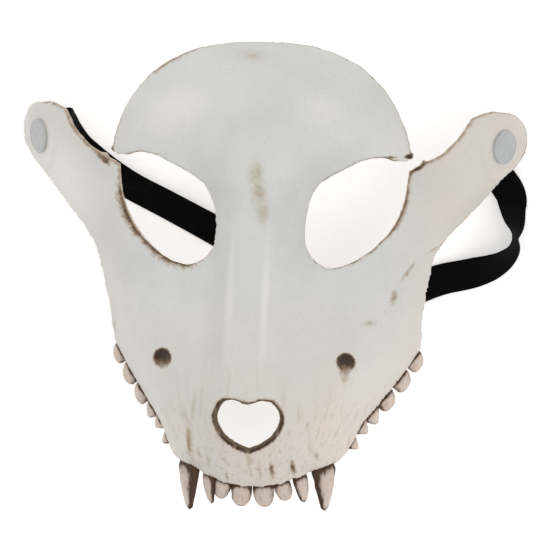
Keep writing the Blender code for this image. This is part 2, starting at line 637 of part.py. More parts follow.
def strap(lift):
    """A flat ribbon with a hole at each rivet: a flat pattern, laid along its route."""
    stops, widths = strap_stops(lift)
    knots = np.concatenate([[0], np.cumsum(np.linalg.norm(np.diff(stops, axis=0), axis=1))])
    length = knots[-1]
    count = ceil(length / STRAP_STEP)
    lengths = np.linspace(0, length, count + 1)
    half = STRAP_WIDTH / 2
    edge = [(u, -half) for u in lengths] + [(length, v) for v in (-half / 3, half / 3)]
    edge += [(u, half) for u in lengths[::-1]] + [(0, v) for v in (half / 3, -half / 3)]
    turns = np.arange(BORE_SIDES) * 2 * pi / BORE_SIDES
    circle = (POST_RADIUS + GAP) * np.column_stack([np.cos(turns), np.sin(turns)])
    holes = [circle + (STRAP_TAIL, 0), circle + (length - STRAP_TAIL, 0)]
    inner = np.array([(u, v) for u in lengths[1:-1] for v in (-half / 3, half / 3)])
    for hole in holes:
        inner = inner[np.hypot(*(inner - hole.mean(axis=0)).T) > 2 * POST_RADIUS]
    pattern, faces = triangulate([np.array(edge)] + holes, inner)

    rows = np.broadcast_to(knots, (len(pattern), len(knots)))

    def read(columns, at):
        spread = [np.broadcast_to(column, rows.shape) for column in columns.T]
        return np.column_stack([curve_at(rows, column, at) for column in spread])

    along = pattern[:, 0]
    heading = read(stops, along + 1e-5) - read(stops, along - 1e-5)
    heading /= np.linalg.norm(heading, axis=1)[:, None]
    width = read(widths, along)
    width -= heading * np.einsum("ij,ij->i", heading, width)[:, None]
    width /= np.linalg.norm(width, axis=1)[:, None]
    facing = np.cross(heading, width)
    line = read(stops, along)
    lowest = half * np.abs(width[:, 2]) + STRAP_THICKNESS / 2 * np.abs(facing[:, 2])
    line[:, 2] = np.maximum(line[:, 2], lowest)
    middle = line + width * pattern[:, 1:]
    top = middle + facing * STRAP_THICKNESS / 2
    bottom = middle - facing * STRAP_THICKNESS / 2
    return close_wall(top, bottom, faces)


def add_object(name, corners, faces, paint, smooth_under=None):
    mesh = bpy.data.meshes.new(name)
    mesh.from_pydata([tuple(c) for c in corners], [], [tuple(int(i) for i in f) for f in faces])
    mesh.validate()
    if smooth_under:
        mesh.shade_smooth()
        mesh.set_sharp_from_angle(angle=radians(smooth_under))
    mesh.materials.append(paint)
    obj = bpy.data.objects.new(name, mesh)
    bpy.context.scene.collection.objects.link(obj)
    return obj


def make_paint(name):
    colour, metallic, roughness = PAINTS[name]
    paint = bpy.data.materials.new(name)
    paint.use_nodes = True
    shader = paint.node_tree.nodes["Principled BSDF"]
    shader.inputs["Base Color"].default_value = (*colour, 1)
    shader.inputs["Metallic"].default_value = metallic
    shader.inputs["Roughness"].default_value = roughness
    return paint


def build_mask():
    for obj in list(bpy.data.objects):
        bpy.data.objects.remove(obj, do_unlink=True)
    paints = {name: make_paint(name) for name in PAINTS}
    bodies = {"skull_shell": (*shell(), "moulded_foam")}
    rim = rim_points()
    for row in TEETH:
        for side, word in ((-1, "left"), (1, "right")):
            corners, faces = tooth(row, side, rim)
            bodies[row.name.format(word)] = (corners, faces, "tooth_paint")
    lift = -min(corners[:, 2].min() for corners, _, _ in bodies.values())
    for side, word in ((-1, "left"), (1, "right")):
        bodies["rivet_" + word] = (*rivet(side), "rivet_plastic")
    for name, (corners, faces, paint) in bodies.items():
        add_object(name, corners + (0, 0, lift), faces, paints[paint], smooth_under=40)
    corners, faces = strap(lift)
    add_object("elastic_strap", corners, faces, paints["woven_elastic"], smooth_under=60)


build_mask()
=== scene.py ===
# %% [markdown]
# # A skull half mask in moulded foam
# The real object is one thin shell of foam, cast in a mould in the form of an animal's skull, with
# its teeth cast along the gum. It is sprayed bone white, and a thin brown wash is rubbed into its
# hollows. A black elastic runs between two flat rivets at the ends of the cheek arms. The packed
# CAD model gives every size and place, and the cells below dress it piece by piece.

# %% The frame
import json
from collections import namedtuple
from math import ceil, cos, pi, radians, sin

import bpy
import numpy as np
from mathutils import Matrix, Vector, noise
from mathutils.geometry import delaunay_2d_cdt
from mathutils.kdtree import KDTree


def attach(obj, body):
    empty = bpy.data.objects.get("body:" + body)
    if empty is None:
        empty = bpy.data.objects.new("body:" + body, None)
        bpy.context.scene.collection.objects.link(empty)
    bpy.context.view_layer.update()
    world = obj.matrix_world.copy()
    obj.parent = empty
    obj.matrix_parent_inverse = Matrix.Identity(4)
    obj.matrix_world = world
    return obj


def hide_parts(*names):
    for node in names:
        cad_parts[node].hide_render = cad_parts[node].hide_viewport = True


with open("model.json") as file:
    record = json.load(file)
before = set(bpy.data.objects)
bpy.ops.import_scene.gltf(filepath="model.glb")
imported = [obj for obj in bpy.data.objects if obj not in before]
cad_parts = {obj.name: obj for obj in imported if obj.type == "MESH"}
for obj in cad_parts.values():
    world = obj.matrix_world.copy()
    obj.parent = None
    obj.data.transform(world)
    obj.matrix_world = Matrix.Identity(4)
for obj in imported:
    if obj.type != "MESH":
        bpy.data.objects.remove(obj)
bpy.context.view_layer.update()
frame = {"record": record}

# %% [markdown]
# ## Sizes
# The shell could be sculpted by hand, but then it would drift away from the CAD model. It is
# written as a few sizes and tables of shares instead, the same ones as the model's, and every
# finer form below is worked out from them.

# %% Sizes in metres
HALF_WIDTH = 0.1305
HALF_HEIGHT = 0.118
DEPTH = 0.098
WALL = 0.0045
GAP = 0.0003
NOSE_HALF_WIDTH = 0.0174
NOSE_HEIGHT = 0.0265
PIT_RADIUS = 0.0046
PIT_DEPTH = 0.0032
VALLEY_DEPTH = 0.0010
CREASE_DEPTH = 0.0009
GROOVE_DEPTH = 0.0009
DISC_RADIUS = 0.00875
DISC_THICKNESS = 0.0012
BACK_DISC_RADIUS = 0.0060
POST_RADIUS = 0.0020
SEAT_RADIUS = 0.0138
SEAT_BLEND = 0.0060
STRAP_WIDTH = 0.016
STRAP_THICKNESS = 0.0012
STRAP_TAIL = 0.009
CANINE_LENGTH = 0.0219
CANINE_WIDTH = 0.0120
INCISOR_LENGTH = 0.0115
INCISOR_WIDTH = 0.0098
CHEEK_TOOTH_LENGTH = 0.0090
CHEEK_TOOTH_WIDTH = 0.0112
TOOTH_THICKNESS = 0.0054
print("Mask", 2000 * HALF_WIDTH, "mm wide and", 2000 * HALF_HEIGHT, "mm high")

# %% [markdown]
# ## Sections of the face
# A mould maker cuts card templates across a face at several heights. Each row here is such a
# template: its place up the mask, how far across its points lie, and how high they rise, all as
# shares of the sizes. A smooth surface runs through the rows.

# %% Templates across the face and the forehead
Section = namedtuple("Section", "up across rise")
FACE = (
    Section(0.746, (0, 0.09, 0.18, 0.46, 0.69, 0.86, 1.00),
            (0.816, 0.796, 0.714, 0.612, 0.490, 0.330, 0.030)),
    Section(0.593, (0, 0.09, 0.18, 0.46, 0.66, 0.81, 1.00),
            (0.816, 0.796, 0.694, 0.592, 0.510, 0.398, 0.040)),
    Section(0.458, (0, 0.09, 0.18, 0.43, 0.60, 0.77, 0.93),
            (0.816, 0.786, 0.653, 0.571, 0.510, 0.388, 0.143)),
    Section(0.322, (0, 0.09, 0.18, 0.40, 0.57, 0.70, 0.83),
            (0.827, 0.786, 0.612, 0.571, 0.515, 0.413, 0.184)),
    Section(0.169, (0, 0.09, 0.18, 0.34, 0.49, 0.61, 0.70),
            (0.847, 0.806, 0.597, 0.602, 0.546, 0.459, 0.327)),
    Section(0.000, (0, 0.09, 0.17, 0.29, 0.42, 0.55, 0.65),
            (0.888, 0.860, 0.704, 0.668, 0.607, 0.480, 0.286)),
    Section(-0.169, (0, 0.09, 0.16, 0.28, 0.40, 0.52, 0.62),
            (0.929, 0.910, 0.816, 0.770, 0.684, 0.480, 0.194)),
    Section(-0.339, (0, 0.09, 0.15, 0.26, 0.38, 0.48, 0.58),
            (0.969, 0.954, 0.878, 0.821, 0.724, 0.490, 0.138)),
    Section(-0.525, (0, 0.09, 0.15, 0.24, 0.33, 0.41, 0.47),
            (1.000, 0.985, 0.929, 0.857, 0.714, 0.490, 0.250)),
    Section(-0.678, (0, 0.08, 0.14, 0.21, 0.29, 0.34, 0.37),
            (0.964, 0.949, 0.903, 0.811, 0.653, 0.515, 0.383)),
    Section(-0.797, (0, 0.08, 0.13, 0.19, 0.25, 0.29, 0.32),
            (0.816, 0.806, 0.776, 0.714, 0.602, 0.531, 0.459)),
    Section(-0.915, (0, 0.07, 0.11, 0.16, 0.21, 0.25, 0.28),
            (0.633, 0.628, 0.607, 0.571, 0.526, 0.480, 0.429)),
)
BROW = (
    Section(1.051, (0, 0.14, 0.31, 0.46, 0.61),
            (0.612, 0.612, 0.592, 0.541, 0.469)),
    Section(0.881, (0, 0.14, 0.31, 0.44, 0.57),
            (0.750, 0.750, 0.730, 0.679, 0.602)),
    Section(0.712, (0, 0.13, 0.28, 0.43, 0.56),
            (0.827, 0.829, 0.816, 0.760, 0.673)),
    Section(0.559, (0, 0.11, 0.25, 0.41, 0.58),
            (0.837, 0.829, 0.798, 0.745, 0.668)),
    Section(0.424, (0, 0.10, 0.20, 0.40, 0.58),
            (0.827, 0.801, 0.719, 0.699, 0.643)),
    Section(0.288, (0, 0.09, 0.18, 0.38, 0.58),
            (0.829, 0.786, 0.617, 0.633, 0.612)),
    Section(0.136, (0, 0.09, 0.17, 0.38, 0.58),
            (0.854, 0.811, 0.612, 0.612, 0.592)),
    Section(0.000, (0, 0.09, 0.17, 0.38, 0.58),
            (0.888, 0.860, 0.704, 0.612, 0.592)),
)
PASSAGE_ACROSS = (0.19, 0.58)
PASSAGE_UP = (0.26, 0.50)
PASSAGE_WIDTH = (0.24, 0.03)
BROW_END = 0.595
BROW_FADE = 0.05
print(len(FACE), "templates for the face and", len(BROW), "for the forehead")

# %% [markdown]
# ## Outlines
# The outline is cut out of the cast with a knife. It runs through the forehead's rim, round the
# eye socket, up and around the arm, down the cheek and along the gum. Corners stay sharp where two
# runs meet, and each run is a smooth curve.

# %% Half of the outline, the nose hole, and places on the face
FOREHEAD_EDGE = (
    (0.000, 1.000), (0.110, 0.997), (0.202, 0.982), (0.330, 0.932), (0.440, 0.846),
    (0.506, 0.758), (0.544, 0.674), (0.571, 0.589), (0.585, 0.508),
)
BROW_EDGE = (
    (0.585, 0.508), (0.552, 0.494), (0.475, 0.510), (0.406, 0.497), (0.345, 0.464),
    (0.276, 0.424), (0.227, 0.383), (0.199, 0.326), (0.184, 0.263), (0.178, 0.191),
    (0.185, 0.127), (0.218, 0.068), (0.264, 0.041), (0.352, 0.059), (0.414, 0.100),
    (0.460, 0.144), (0.510, 0.208), (0.536, 0.263), (0.556, 0.331), (0.571, 0.458),
)
ARM_INNER_EDGE = (
    (0.571, 0.458), (0.628, 0.492), (0.693, 0.532), (0.734, 0.576), (0.765, 0.620),
    (0.805, 0.695),
)
ARM_TIP_EDGE = (
    (0.805, 0.695), (0.885, 0.726), (0.966, 0.716), (0.998, 0.650), (0.996, 0.568),
    (0.966, 0.508), (0.900, 0.424), (0.838, 0.339), (0.771, 0.254), (0.706, 0.169),
    (0.664, 0.085), (0.646, 0.000), (0.630, -0.085), (0.618, -0.169), (0.613, -0.246),
    (0.608, -0.301),
)
GUM_EDGE = (
    (0.608, -0.301), (0.543, -0.415), (0.479, -0.515), (0.438, -0.576), (0.393, -0.646),
    (0.364, -0.716), (0.331, -0.781), (0.261, -0.815), (0.184, -0.858), (0.092, -0.895),
    (0.000, -0.905),
)
OUTLINE = (FOREHEAD_EDGE, BROW_EDGE, ARM_INNER_EDGE, ARM_TIP_EDGE, GUM_EDGE)
NOSE_EDGE = (
    (0.00, 0.00), (0.12, 0.01), (0.37, 0.07), (0.72, 0.05), (0.98, -0.15), (0.99, -0.36), (0.80, -0.61),
    (0.43, -0.81), (0.00, -0.925),
)
NOSE_UP = -0.545
RIVET_PLACE = (0.912, 0.580)
PIT_PLACE = (0.355, -0.368)
CREASE = ((0.72, 0.17), (0.61, 0.10), (0.53, -0.03), (0.49, -0.15))
CREASE_WIDTH = 0.0045
RIDGE_SPREAD = 0.0085
RIDGE_TOP = 0.38
RIDGE_BOTTOM = -0.50
PIT_FLOOR = 0.45
PIT_WALL = 0.75
VALLEY_FADES = (0.12, 0.20)
GROOVE_FADES = (0.05, 0.08)
GROOVES = (
    (0.045, -0.84, -0.76, 0.0012),
    (0.098, -0.84, -0.72, 0.0012),
    (0.150, -0.82, -0.68, 0.0012),
    (0.218, -0.80, -0.58, 0.0018),
    (0.335, -0.70, -0.50, 0.0016),
)
print(sum(len(run) for run in OUTLINE), "points for half of the outline")

# %% [markdown]
# ## Reading smooth curves
# Blender could loft the templates through NURBS, but their handles are hard to keep in step with
# the CAD model. Cubic curves through the points, read with numpy for many places at once, give the
# height of the surface anywhere.

# %% Smooth curves and the height of the surface
SLOPE_REACH = 0.0004


def curve_at(knots, values, place, flat_start=False):
    """Read smooth curves through (knots, values), one row to a curve, each at its own place.

    The slope at a knot is the mean of its two sides, weighted to the nearer one. Beyond the end
    knots a curve runs on straight."""
    run = np.diff(knots, axis=1)
    rise = np.diff(values, axis=1) / run
    inner = (rise[:, :-1] * run[:, 1:] + rise[:, 1:] * run[:, :-1]) / (run[:, :-1] + run[:, 1:])
    first = np.zeros_like(rise[:, :1]) if flat_start else rise[:, :1]
    slope = np.concatenate([first, inner, rise[:, -1:]], axis=1)
    row = np.arange(len(place))
    cell = np.clip((knots <= place[:, None]).sum(axis=1) - 1, 0, run.shape[1] - 1)
    width = run[row, cell]
    whole = (place - knots[row, cell]) / width
    t = np.clip(whole, 0, 1)
    start, end = values[row, cell], values[row, cell + 1]
    leave, arrive = slope[row, cell] * width, slope[row, cell + 1] * width
    curve = start + t * leave + t**2 * (3 * (end - start) - 2 * leave - arrive)
    curve += t**3 * (2 * (start - end) + leave + arrive)
    return curve + (whole - t) * np.where(whole > 1, arrive, leave)


def smooth(t):
    """Ease from 0 to 1 while t goes from 0 to 1."""
    t = np.clip(t, 0, 1)
    return t * t * (3 - 2 * t)


def loft(sections, across, up):
    """Height of the surface through the sections, at shares across and up."""
    ups = np.broadcast_to([s.up for s in sections[::-1]], (len(up), len(sections)))
    lines = []
    for name in ("across", "rise"):
        table = np.array([getattr(s, name) for s in sections[::-1]], float)
        columns = [np.broadcast_to(column, ups.shape) for column in table.T]
        lines.append(np.stack([curve_at(ups, column, up) for column in columns], axis=1))
    return DEPTH * curve_at(lines[0], lines[1], across, flat_start=True)


def bare_height(x, y):
    """Height of the front surface without its rivet seats and relief."""
    across, up = np.abs(x) / HALF_WIDTH, y / HALF_HEIGHT
    face, brow = loft(FACE, across, up), loft(BROW, across, up)
    outward = (across - PASSAGE_ACROSS[0]) / (PASSAGE_ACROSS[1] - PASSAGE_ACROSS[0])
    outward = np.clip(outward, 0, 1)
    middle = PASSAGE_UP[0] + (PASSAGE_UP[1] - PASSAGE_UP[0]) * outward
    width = PASSAGE_WIDTH[0] + (PASSAGE_WIDTH[1] - PASSAGE_WIDTH[0]) * outward
    share = smooth((up - middle) / width + 0.5) * (1 - smooth((across - BROW_END) / BROW_FADE))
    return face + (brow - face) * share


def slopes(height, x, y, reach=SLOPE_REACH):
    """Slopes of a height function along x and y."""
    along_x = (height(x + reach, y) - height(x - reach, y)) / (2 * reach)
    along_y = (height(x, y + reach) - height(x, y - reach)) / (2 * reach)
    return along_x, along_y


bridge = bare_height(np.array([0.0]), np.array([0.0]))[0]
print("The nose's bridge rises", round(1000 * float(bridge), 1), "mm")

# %% [markdown]
# ## Height and relief
# The front is a height over the table that the mask lies on. Each arm is flat where its rivet
# sits. Pits, the valley of the nose, creases and root grooves are pressed into that surface.

# %% The front surface
def height(x, y):
    """Height of the front surface, with a flat seat for each rivet."""
    surface = bare_height(x, y)
    seat_x, seat_y = RIVET_PLACE[0] * HALF_WIDTH, RIVET_PLACE[1] * HALF_HEIGHT
    centre = np.array([seat_x]), np.array([seat_y])
    lean_x, lean_y = slopes(bare_height, *centre, reach=SEAT_RADIUS / 2)
    run_x, run_y = np.abs(x) - seat_x, y - seat_y
    rise = lean_x * run_x + lean_y * run_y
    distance = np.sqrt(run_x**2 + run_y**2 + rise**2)
    flat = 1 - smooth((distance - SEAT_RADIUS) / SEAT_BLEND)
    return surface + (bare_height(*centre) + rise - surface) * flat


def relief(x, y):
    """Depth of the pits, valley, creases and grooves in the front surface."""
    across, up = np.abs(x), y / HALF_HEIGHT
    pit_x, pit_y = PIT_PLACE[0] * HALF_WIDTH, PIT_PLACE[1] * HALF_HEIGHT
    from_pit = np.hypot(across - pit_x, y - pit_y) / PIT_RADIUS
    depth = PIT_DEPTH * (1 - smooth((from_pit - PIT_FLOOR) / PIT_WALL))

    fade = smooth((up - RIDGE_BOTTOM) / VALLEY_FADES[0]) * smooth((RIDGE_TOP - up) / VALLEY_FADES[1])
    depth = depth + VALLEY_DEPTH * fade * (1 - smooth(across / RIDGE_SPREAD))

    crease = np.array(CREASE) * (HALF_WIDTH, HALF_HEIGHT)
    nearest = np.full(len(x), np.inf)
    for start, end in zip(crease[:-1], crease[1:]):
        run = end - start
        share = ((across - start[0]) * run[0] + (y - start[1]) * run[1]) / (run @ run)
        share = np.clip(share, 0, 1)
        gap = np.hypot(across - start[0] - share * run[0], y - start[1] - share * run[1])
        nearest = np.minimum(nearest, gap)
    depth = depth + CREASE_DEPTH * (1 - smooth(nearest / CREASE_WIDTH))

    for place, low, high, width in GROOVES:
        long = smooth((up - low) / GROOVE_FADES[0]) * smooth((high - up) / GROOVE_FADES[1])
        depth = depth + GROOVE_DEPTH * long * (1 - smooth(np.abs(across - place * HALF_WIDTH) / width))
    return depth


def place_on(points):
    """Points of the front surface above (x, y), without relief, and the normals there."""
    x, y = points[:, 0], points[:, 1]
    lean_x, lean_y = slopes(height, x, y)
    normals = np.stack([-lean_x, -lean_y, np.ones(len(x))], axis=1)
    normals /= np.linalg.norm(normals, axis=1)[:, None]
    return np.column_stack([x, y, height(x, y)]), normals


def rivet_frame(side):
    """Centre of a rivet's seat, its outward normal, and the directions up the arm and along Y."""
    centre = np.array([[side * RIVET_PLACE[0] * HALF_WIDTH, RIVET_PLACE[1] * HALF_HEIGHT]])
    point, normal = place_on(centre)
    up_arm = np.cross(normal[0], (0, side, 0))
    up_arm /= np.linalg.norm(up_arm)
    return point[0], normal[0], up_arm, np.cross(up_arm, normal[0]) * side


muzzle = height(np.array([0.0]), np.array([RIDGE_BOTTOM * HALF_HEIGHT]))[0]
print("The muzzle rises", round(1000 * float(muzzle), 1), "mm")

# %% [markdown]
# ## Loops and a fine skin
# The skin is a net of triangles between the outline, the nose hole and rows of inner points. A
# sculpted grid would leave steps along the cut edges, so the net is made by a triangulation that
# keeps the loops as edges. Its step is a little over a millimetre, fine enough for soft relief.

# %% Loops along the cuts
RIM_STEP = 0.0013
SKIN_STEP = 0.00135
BORE_SIDES = 24
RIM_CLEARANCE = 0.6
ROWS_READ, ROW_READ = 240, 200


def spaced(points, step):
    """Points along a polyline of (x, y) at even steps over the front surface, without its end."""
    solid, _ = place_on(points)
    length = np.concatenate([[0], np.cumsum(np.linalg.norm(np.diff(solid, axis=0), axis=1))])
    count = max(2, round(length[-1] / step))
    stops = np.linspace(0, length[-1], count + 1)[:-1]
    return np.column_stack([np.interp(stops, length, column) for column in points.T])


def fine_curve(points, per_span=24):
    """A dense smooth curve through a few points."""
    points = np.array(points, float)
    knots = np.concatenate([[0], np.cumsum(np.linalg.norm(np.diff(points, axis=0), axis=1))])
    stops = np.linspace(0, knots[-1], per_span * (len(points) - 1) + 1)
    rows = np.broadcast_to(knots, (len(stops), len(knots)))
    columns = [np.broadcast_to(column, rows.shape) for column in points.T]
    return np.column_stack([curve_at(rows, column, stops) for column in columns])


def mirrored_loop(runs, step):
    """A closed loop from the runs of its right half and their mirror images."""
    right = [spaced(run, step) for run in runs]
    left = [spaced(run[::-1] * (-1, 1), step) for run in runs[::-1]]
    return np.concatenate(right + left)


def outline_loop(step):
    runs = [fine_curve(np.array(run) * (HALF_WIDTH, HALF_HEIGHT)) for run in OUTLINE]
    return mirrored_loop(runs, step)


def nose_loop(step):
    half = np.array(NOSE_EDGE) * (NOSE_HALF_WIDTH, NOSE_HEIGHT) + (0, NOSE_UP * HALF_HEIGHT)
    return mirrored_loop([fine_curve(half)], step)


def bore_loop(side):
    centre, _, up_arm, along = rivet_frame(side)
    turns = np.arange(BORE_SIDES) * 2 * pi / BORE_SIDES
    radius = POST_RADIUS + GAP
    circle = np.outer(np.cos(turns), up_arm) + np.outer(np.sin(turns), along)
    return centre[:2] + radius * circle[:, :2]


print("Outline:", len(outline_loop(RIM_STEP)), "points")

# %% Points over the skin
def inside(points, loops):
    """Whether each point lies within an odd number of the loops."""
    odd = np.zeros(len(points), bool)
    x, y = points[:, 0, None], points[:, 1, None]
    for loop in loops:
        a, b = loop, np.roll(loop, -1, axis=0)
        crosses = (a[:, 1] > y) != (b[:, 1] > y)
        with np.errstate(divide="ignore", invalid="ignore"):
            where = a[:, 0] + (y - a[:, 1]) * (b[:, 0] - a[:, 0]) / (b[:, 1] - a[:, 1])
        odd ^= ((crosses & (x < where)).sum(axis=1) % 2).astype(bool)
    return odd


def distance_to(loops, solid_points):
    """How far each point in space is from the nearest point of the loops on the front surface."""
    tree = KDTree(sum(len(loop) for loop in loops))
    for number, point in enumerate(place_on(np.concatenate(loops))[0]):
        tree.insert(point, number)
    tree.balance()
    return np.array([tree.find(point)[2] for point in solid_points])


def skin_points(loops, step):
    """Points over the front surface in even rows, clear of the loops."""
    lows, highs = loops[0].min(axis=0), loops[0].max(axis=0)
    ups = np.linspace(lows[1], highs[1], ROWS_READ)
    spine = np.column_stack([np.full(ROWS_READ, 0.2 * HALF_WIDTH), ups])
    points = []
    for number, y in enumerate(spaced(spine, step * sin(pi / 3))[1:, 1]):
        half = spaced(np.column_stack([np.linspace(0, highs[0], ROW_READ), np.full(ROW_READ, y)]), step)
        if number % 2:
            half = (half[:-1] + half[1:]) / 2
        points += [half, half[half[:, 0] > 0] * (-1, 1)]
    points = np.concatenate(points)
    points = points[inside(points, loops)]
    return points[distance_to(loops, place_on(points)[0]) > RIM_CLEARANCE * step]


def triangulate(loops, points):
    """Triangles between closed loops, through the inner points, seen from above as anticlockwise."""
    corners = np.concatenate(loops + [points])
    edges, start = [], 0
    for loop in loops:
        count = len(loop)
        edges += [(start + i, start + (i + 1) % count) for i in range(count)]
        start += count
    found = delaunay_2d_cdt([tuple(c) for c in corners], edges, [], 0, 1e-9, False)
    corners = np.array([tuple(c) for c in found[0]])
    faces = np.array(found[2])
    faces = faces[inside(corners[faces].mean(axis=1), loops)]
    a, b, c = (corners[faces[:, i]] for i in range(3))
    turn = (b - a)[:, 0] * (c - a)[:, 1] - (b - a)[:, 1] * (c - a)[:, 0]
    faces[turn < 0] = faces[turn < 0][:, ::-1]
    return corners, faces


def ring_body(rings, first, last):
    """A closed body through rings of corners, with a point in the middle of each end."""
    count, sides, _ = rings.shape
    faces = []
    for i in range(sides):
        j = (i + 1) % sides
        for ring in range(count - 1):
            a, b = ring * sides + i, ring * sides + j
            faces += [(a, b, b + sides), (a, b + sides, a + sides)]
        faces.append((count * sides, j, i))
        faces.append((count * sides + 1, (count - 1) * sides + i, (count - 1) * sides + j))
    corners = np.concatenate([rings.reshape(-1, 3), [first], [last]])
    faces = np.array(faces)
    a, b, c = (corners[faces[:, i]] for i in range(3))
    if np.einsum("ij,ij->", a, np.cross(b, c)) < 0:
        faces = faces[:, ::-1]
    return corners, faces


print("Skin step:", 1000 * SKIN_STEP, "mm")

# %% [markdown]
# ## Teeth along the gum
# Each tooth stands on the gum's edge. Its place across the gum, its size and its lean come from
# the CAD model's table. The skin needs the places too, because every root swells the gum above it.

# %% The table of teeth
Tooth = namedtuple("Tooth", "name across length width thickness lean form")
TEETH = (
    Tooth("incisor_{}_1", 0.041, INCISOR_LENGTH, INCISOR_WIDTH, 0.95, 32, "blade"),
    Tooth("incisor_{}_2", 0.114, 0.86 * INCISOR_LENGTH, 0.82 * INCISOR_WIDTH, 0.90, 32, "blade"),
    Tooth("incisor_{}_3", 0.184, 1.20 * INCISOR_LENGTH, 0.74 * INCISOR_WIDTH, 0.90, 34, "point"),
    Tooth("canine_{}", 0.272, CANINE_LENGTH, CANINE_WIDTH, 1.35, 30, "fang"),
    Tooth("cheek_tooth_{}_6", 0.368, 0.62 * CHEEK_TOOTH_LENGTH, 0.62 * CHEEK_TOOTH_WIDTH, 0.85, 30, "cusp"),
    Tooth("cheek_tooth_{}_5", 0.397, 0.80 * CHEEK_TOOTH_LENGTH, 0.76 * CHEEK_TOOTH_WIDTH, 0.90, 30, "cusp"),
    Tooth("cheek_tooth_{}_4", 0.434, 0.95 * CHEEK_TOOTH_LENGTH, 0.88 * CHEEK_TOOTH_WIDTH, 0.95, 30, "cusp"),
    Tooth("cheek_tooth_{}_3", 0.482, CHEEK_TOOTH_LENGTH, CHEEK_TOOTH_WIDTH, 1.00, 30, "molar"),
    Tooth("cheek_tooth_{}_2", 0.534, CHEEK_TOOTH_LENGTH, CHEEK_TOOTH_WIDTH, 1.00, 30, "molar"),
    Tooth("cheek_tooth_{}_1", 0.583, 0.90 * CHEEK_TOOTH_LENGTH, 0.92 * CHEEK_TOOTH_WIDTH, 0.90, 28, "molar"),
)
Ring = namedtuple("Ring", "along width thickness drift")
FORMS = {
    "fang": (
        Ring(0.00, 0.92, 0.90, 0.00), Ring(0.14, 1.00, 1.00, 0.01), Ring(0.36, 0.92, 0.92, 0.04),
        Ring(0.60, 0.75, 0.76, 0.09), Ring(0.82, 0.52, 0.54, 0.15), Ring(0.95, 0.28, 0.30, 0.19),
    ),
    "point": (
        Ring(0.00, 0.90, 0.90, 0.00), Ring(0.22, 1.00, 1.00, 0.00), Ring(0.50, 0.90, 0.86, 0.02),
        Ring(0.76, 0.66, 0.62, 0.05), Ring(0.94, 0.34, 0.32, 0.08),
    ),
    "blade": (
        Ring(0.00, 0.92, 0.88, 0.00), Ring(0.26, 1.00, 1.00, 0.00), Ring(0.54, 0.96, 0.88, 0.00),
        Ring(0.76, 0.80, 0.66, 0.00), Ring(0.89, 0.58, 0.46, 0.00), Ring(0.96, 0.34, 0.28, 0.00),
    ),
    "cusp": (
        Ring(0.00, 0.90, 0.90, 0.00), Ring(0.24, 1.00, 1.00, 0.00), Ring(0.56, 0.74, 0.84, 0.00),
        Ring(0.82, 0.42, 0.56, 0.00), Ring(0.96, 0.18, 0.28, 0.00),
    ),
    "molar": (
        Ring(0.00, 0.88, 0.92, 0.00), Ring(0.26, 1.00, 1.00, 0.00), Ring(0.60, 0.95, 0.94, 0.00),
        Ring(0.86, 0.74, 0.68, 0.00), Ring(0.97, 0.42, 0.38, 0.00),
    ),
}
print(2 * len(TEETH), "teeth")

# %% Where a tooth stands
def stand(row, side):
    """Where a tooth stands: the rim above it, its root, the way along the gum, out of it, and its axis."""
    gum = fine_curve(np.array(GUM_EDGE) * (HALF_WIDTH, HALF_HEIGHT))[::-1]
    across = row.across * HALF_WIDTH + np.array((-0.0015, 0, 0.0015))
    points, normals = place_on(np.column_stack([side * across, np.interp(across, *gum.T)]))
    normal, run = normals[1], points[2] - points[0]
    run = run - normal * (run @ normal)
    run /= np.linalg.norm(run)
    out = np.cross(normal, run)
    out *= -1 if out[1] > 0 else 1
    lean = radians(row.lean)
    root = points[1] - normal * WALL / 2 + out * 2 * GAP
    axis = cos(lean) * out + sin(lean) * normal
    return {"rim": points[1], "root": root, "run": run, "out": out, "axis": axis, "normal": normal}


print("The left canine stands at", np.round(1000 * stand(TEETH[3], -1)["root"], 1), "mm")

# %% [markdown]
# ## Roots, lumps and ragged rims
# Foam skins are never quite even. The front teeth's roots swell the gum, the skin has shallow lumps
# of about a centimetre, and the knife leaves small nicks along the rim. Real displacement shows
# these from every side, so only the finest grain is left to the material.

# %% Soft noise over many points
def rough(points, size, seed):
    """Soft noise from -1 to 1 at each point, with lumps of a given size in metres."""
    shift = Vector((seed * 7.3, seed * 3.1, seed * 5.7))
    return np.array([noise.noise(Vector(point) / size + shift) for point in points])


def lumpy(points, layers):
    """Layers of soft noise in metres, each with its height, its size and its seed."""
    return sum(rise * rough(points, size, seed) for rise, size, seed in layers)


ROOT_REACH = {"fang": 0.024, "point": 0.014, "blade": 0.014}
ROOT_SWELL = {"fang": 0.0013, "point": 0.0009, "blade": 0.0009}


def roots(x, y):
    """How far the roots of the front teeth swell the gum."""
    swell = np.zeros(len(x))
    for row in TEETH:
        if row.form not in ROOT_SWELL:
            continue
        reach = ROOT_REACH[row.form]
        for side in (-1, 1):
            seat = stand(row, side)
            gum_x, gum_y = seat["run"][:2] / np.linalg.norm(seat["run"][:2])
            off_x, off_y = x - seat["rim"][0], y - seat["rim"][1]
            beside = (off_x * gum_x + off_y * gum_y) / row.width
            above = np.abs(-off_x * gum_y + off_y * gum_x)
            fade = np.clip(1 - above / reach, 0, 1) ** 1.5
            bulge = ROOT_SWELL[row.form] * np.exp(-(beside / 0.36) ** 2) * fade
            swell += np.where(np.hypot(off_x, off_y) < 1.6 * reach, bulge, 0)
    return swell


print("Roots swell the gum by up to", 1000 * max(ROOT_SWELL.values()), "mm")
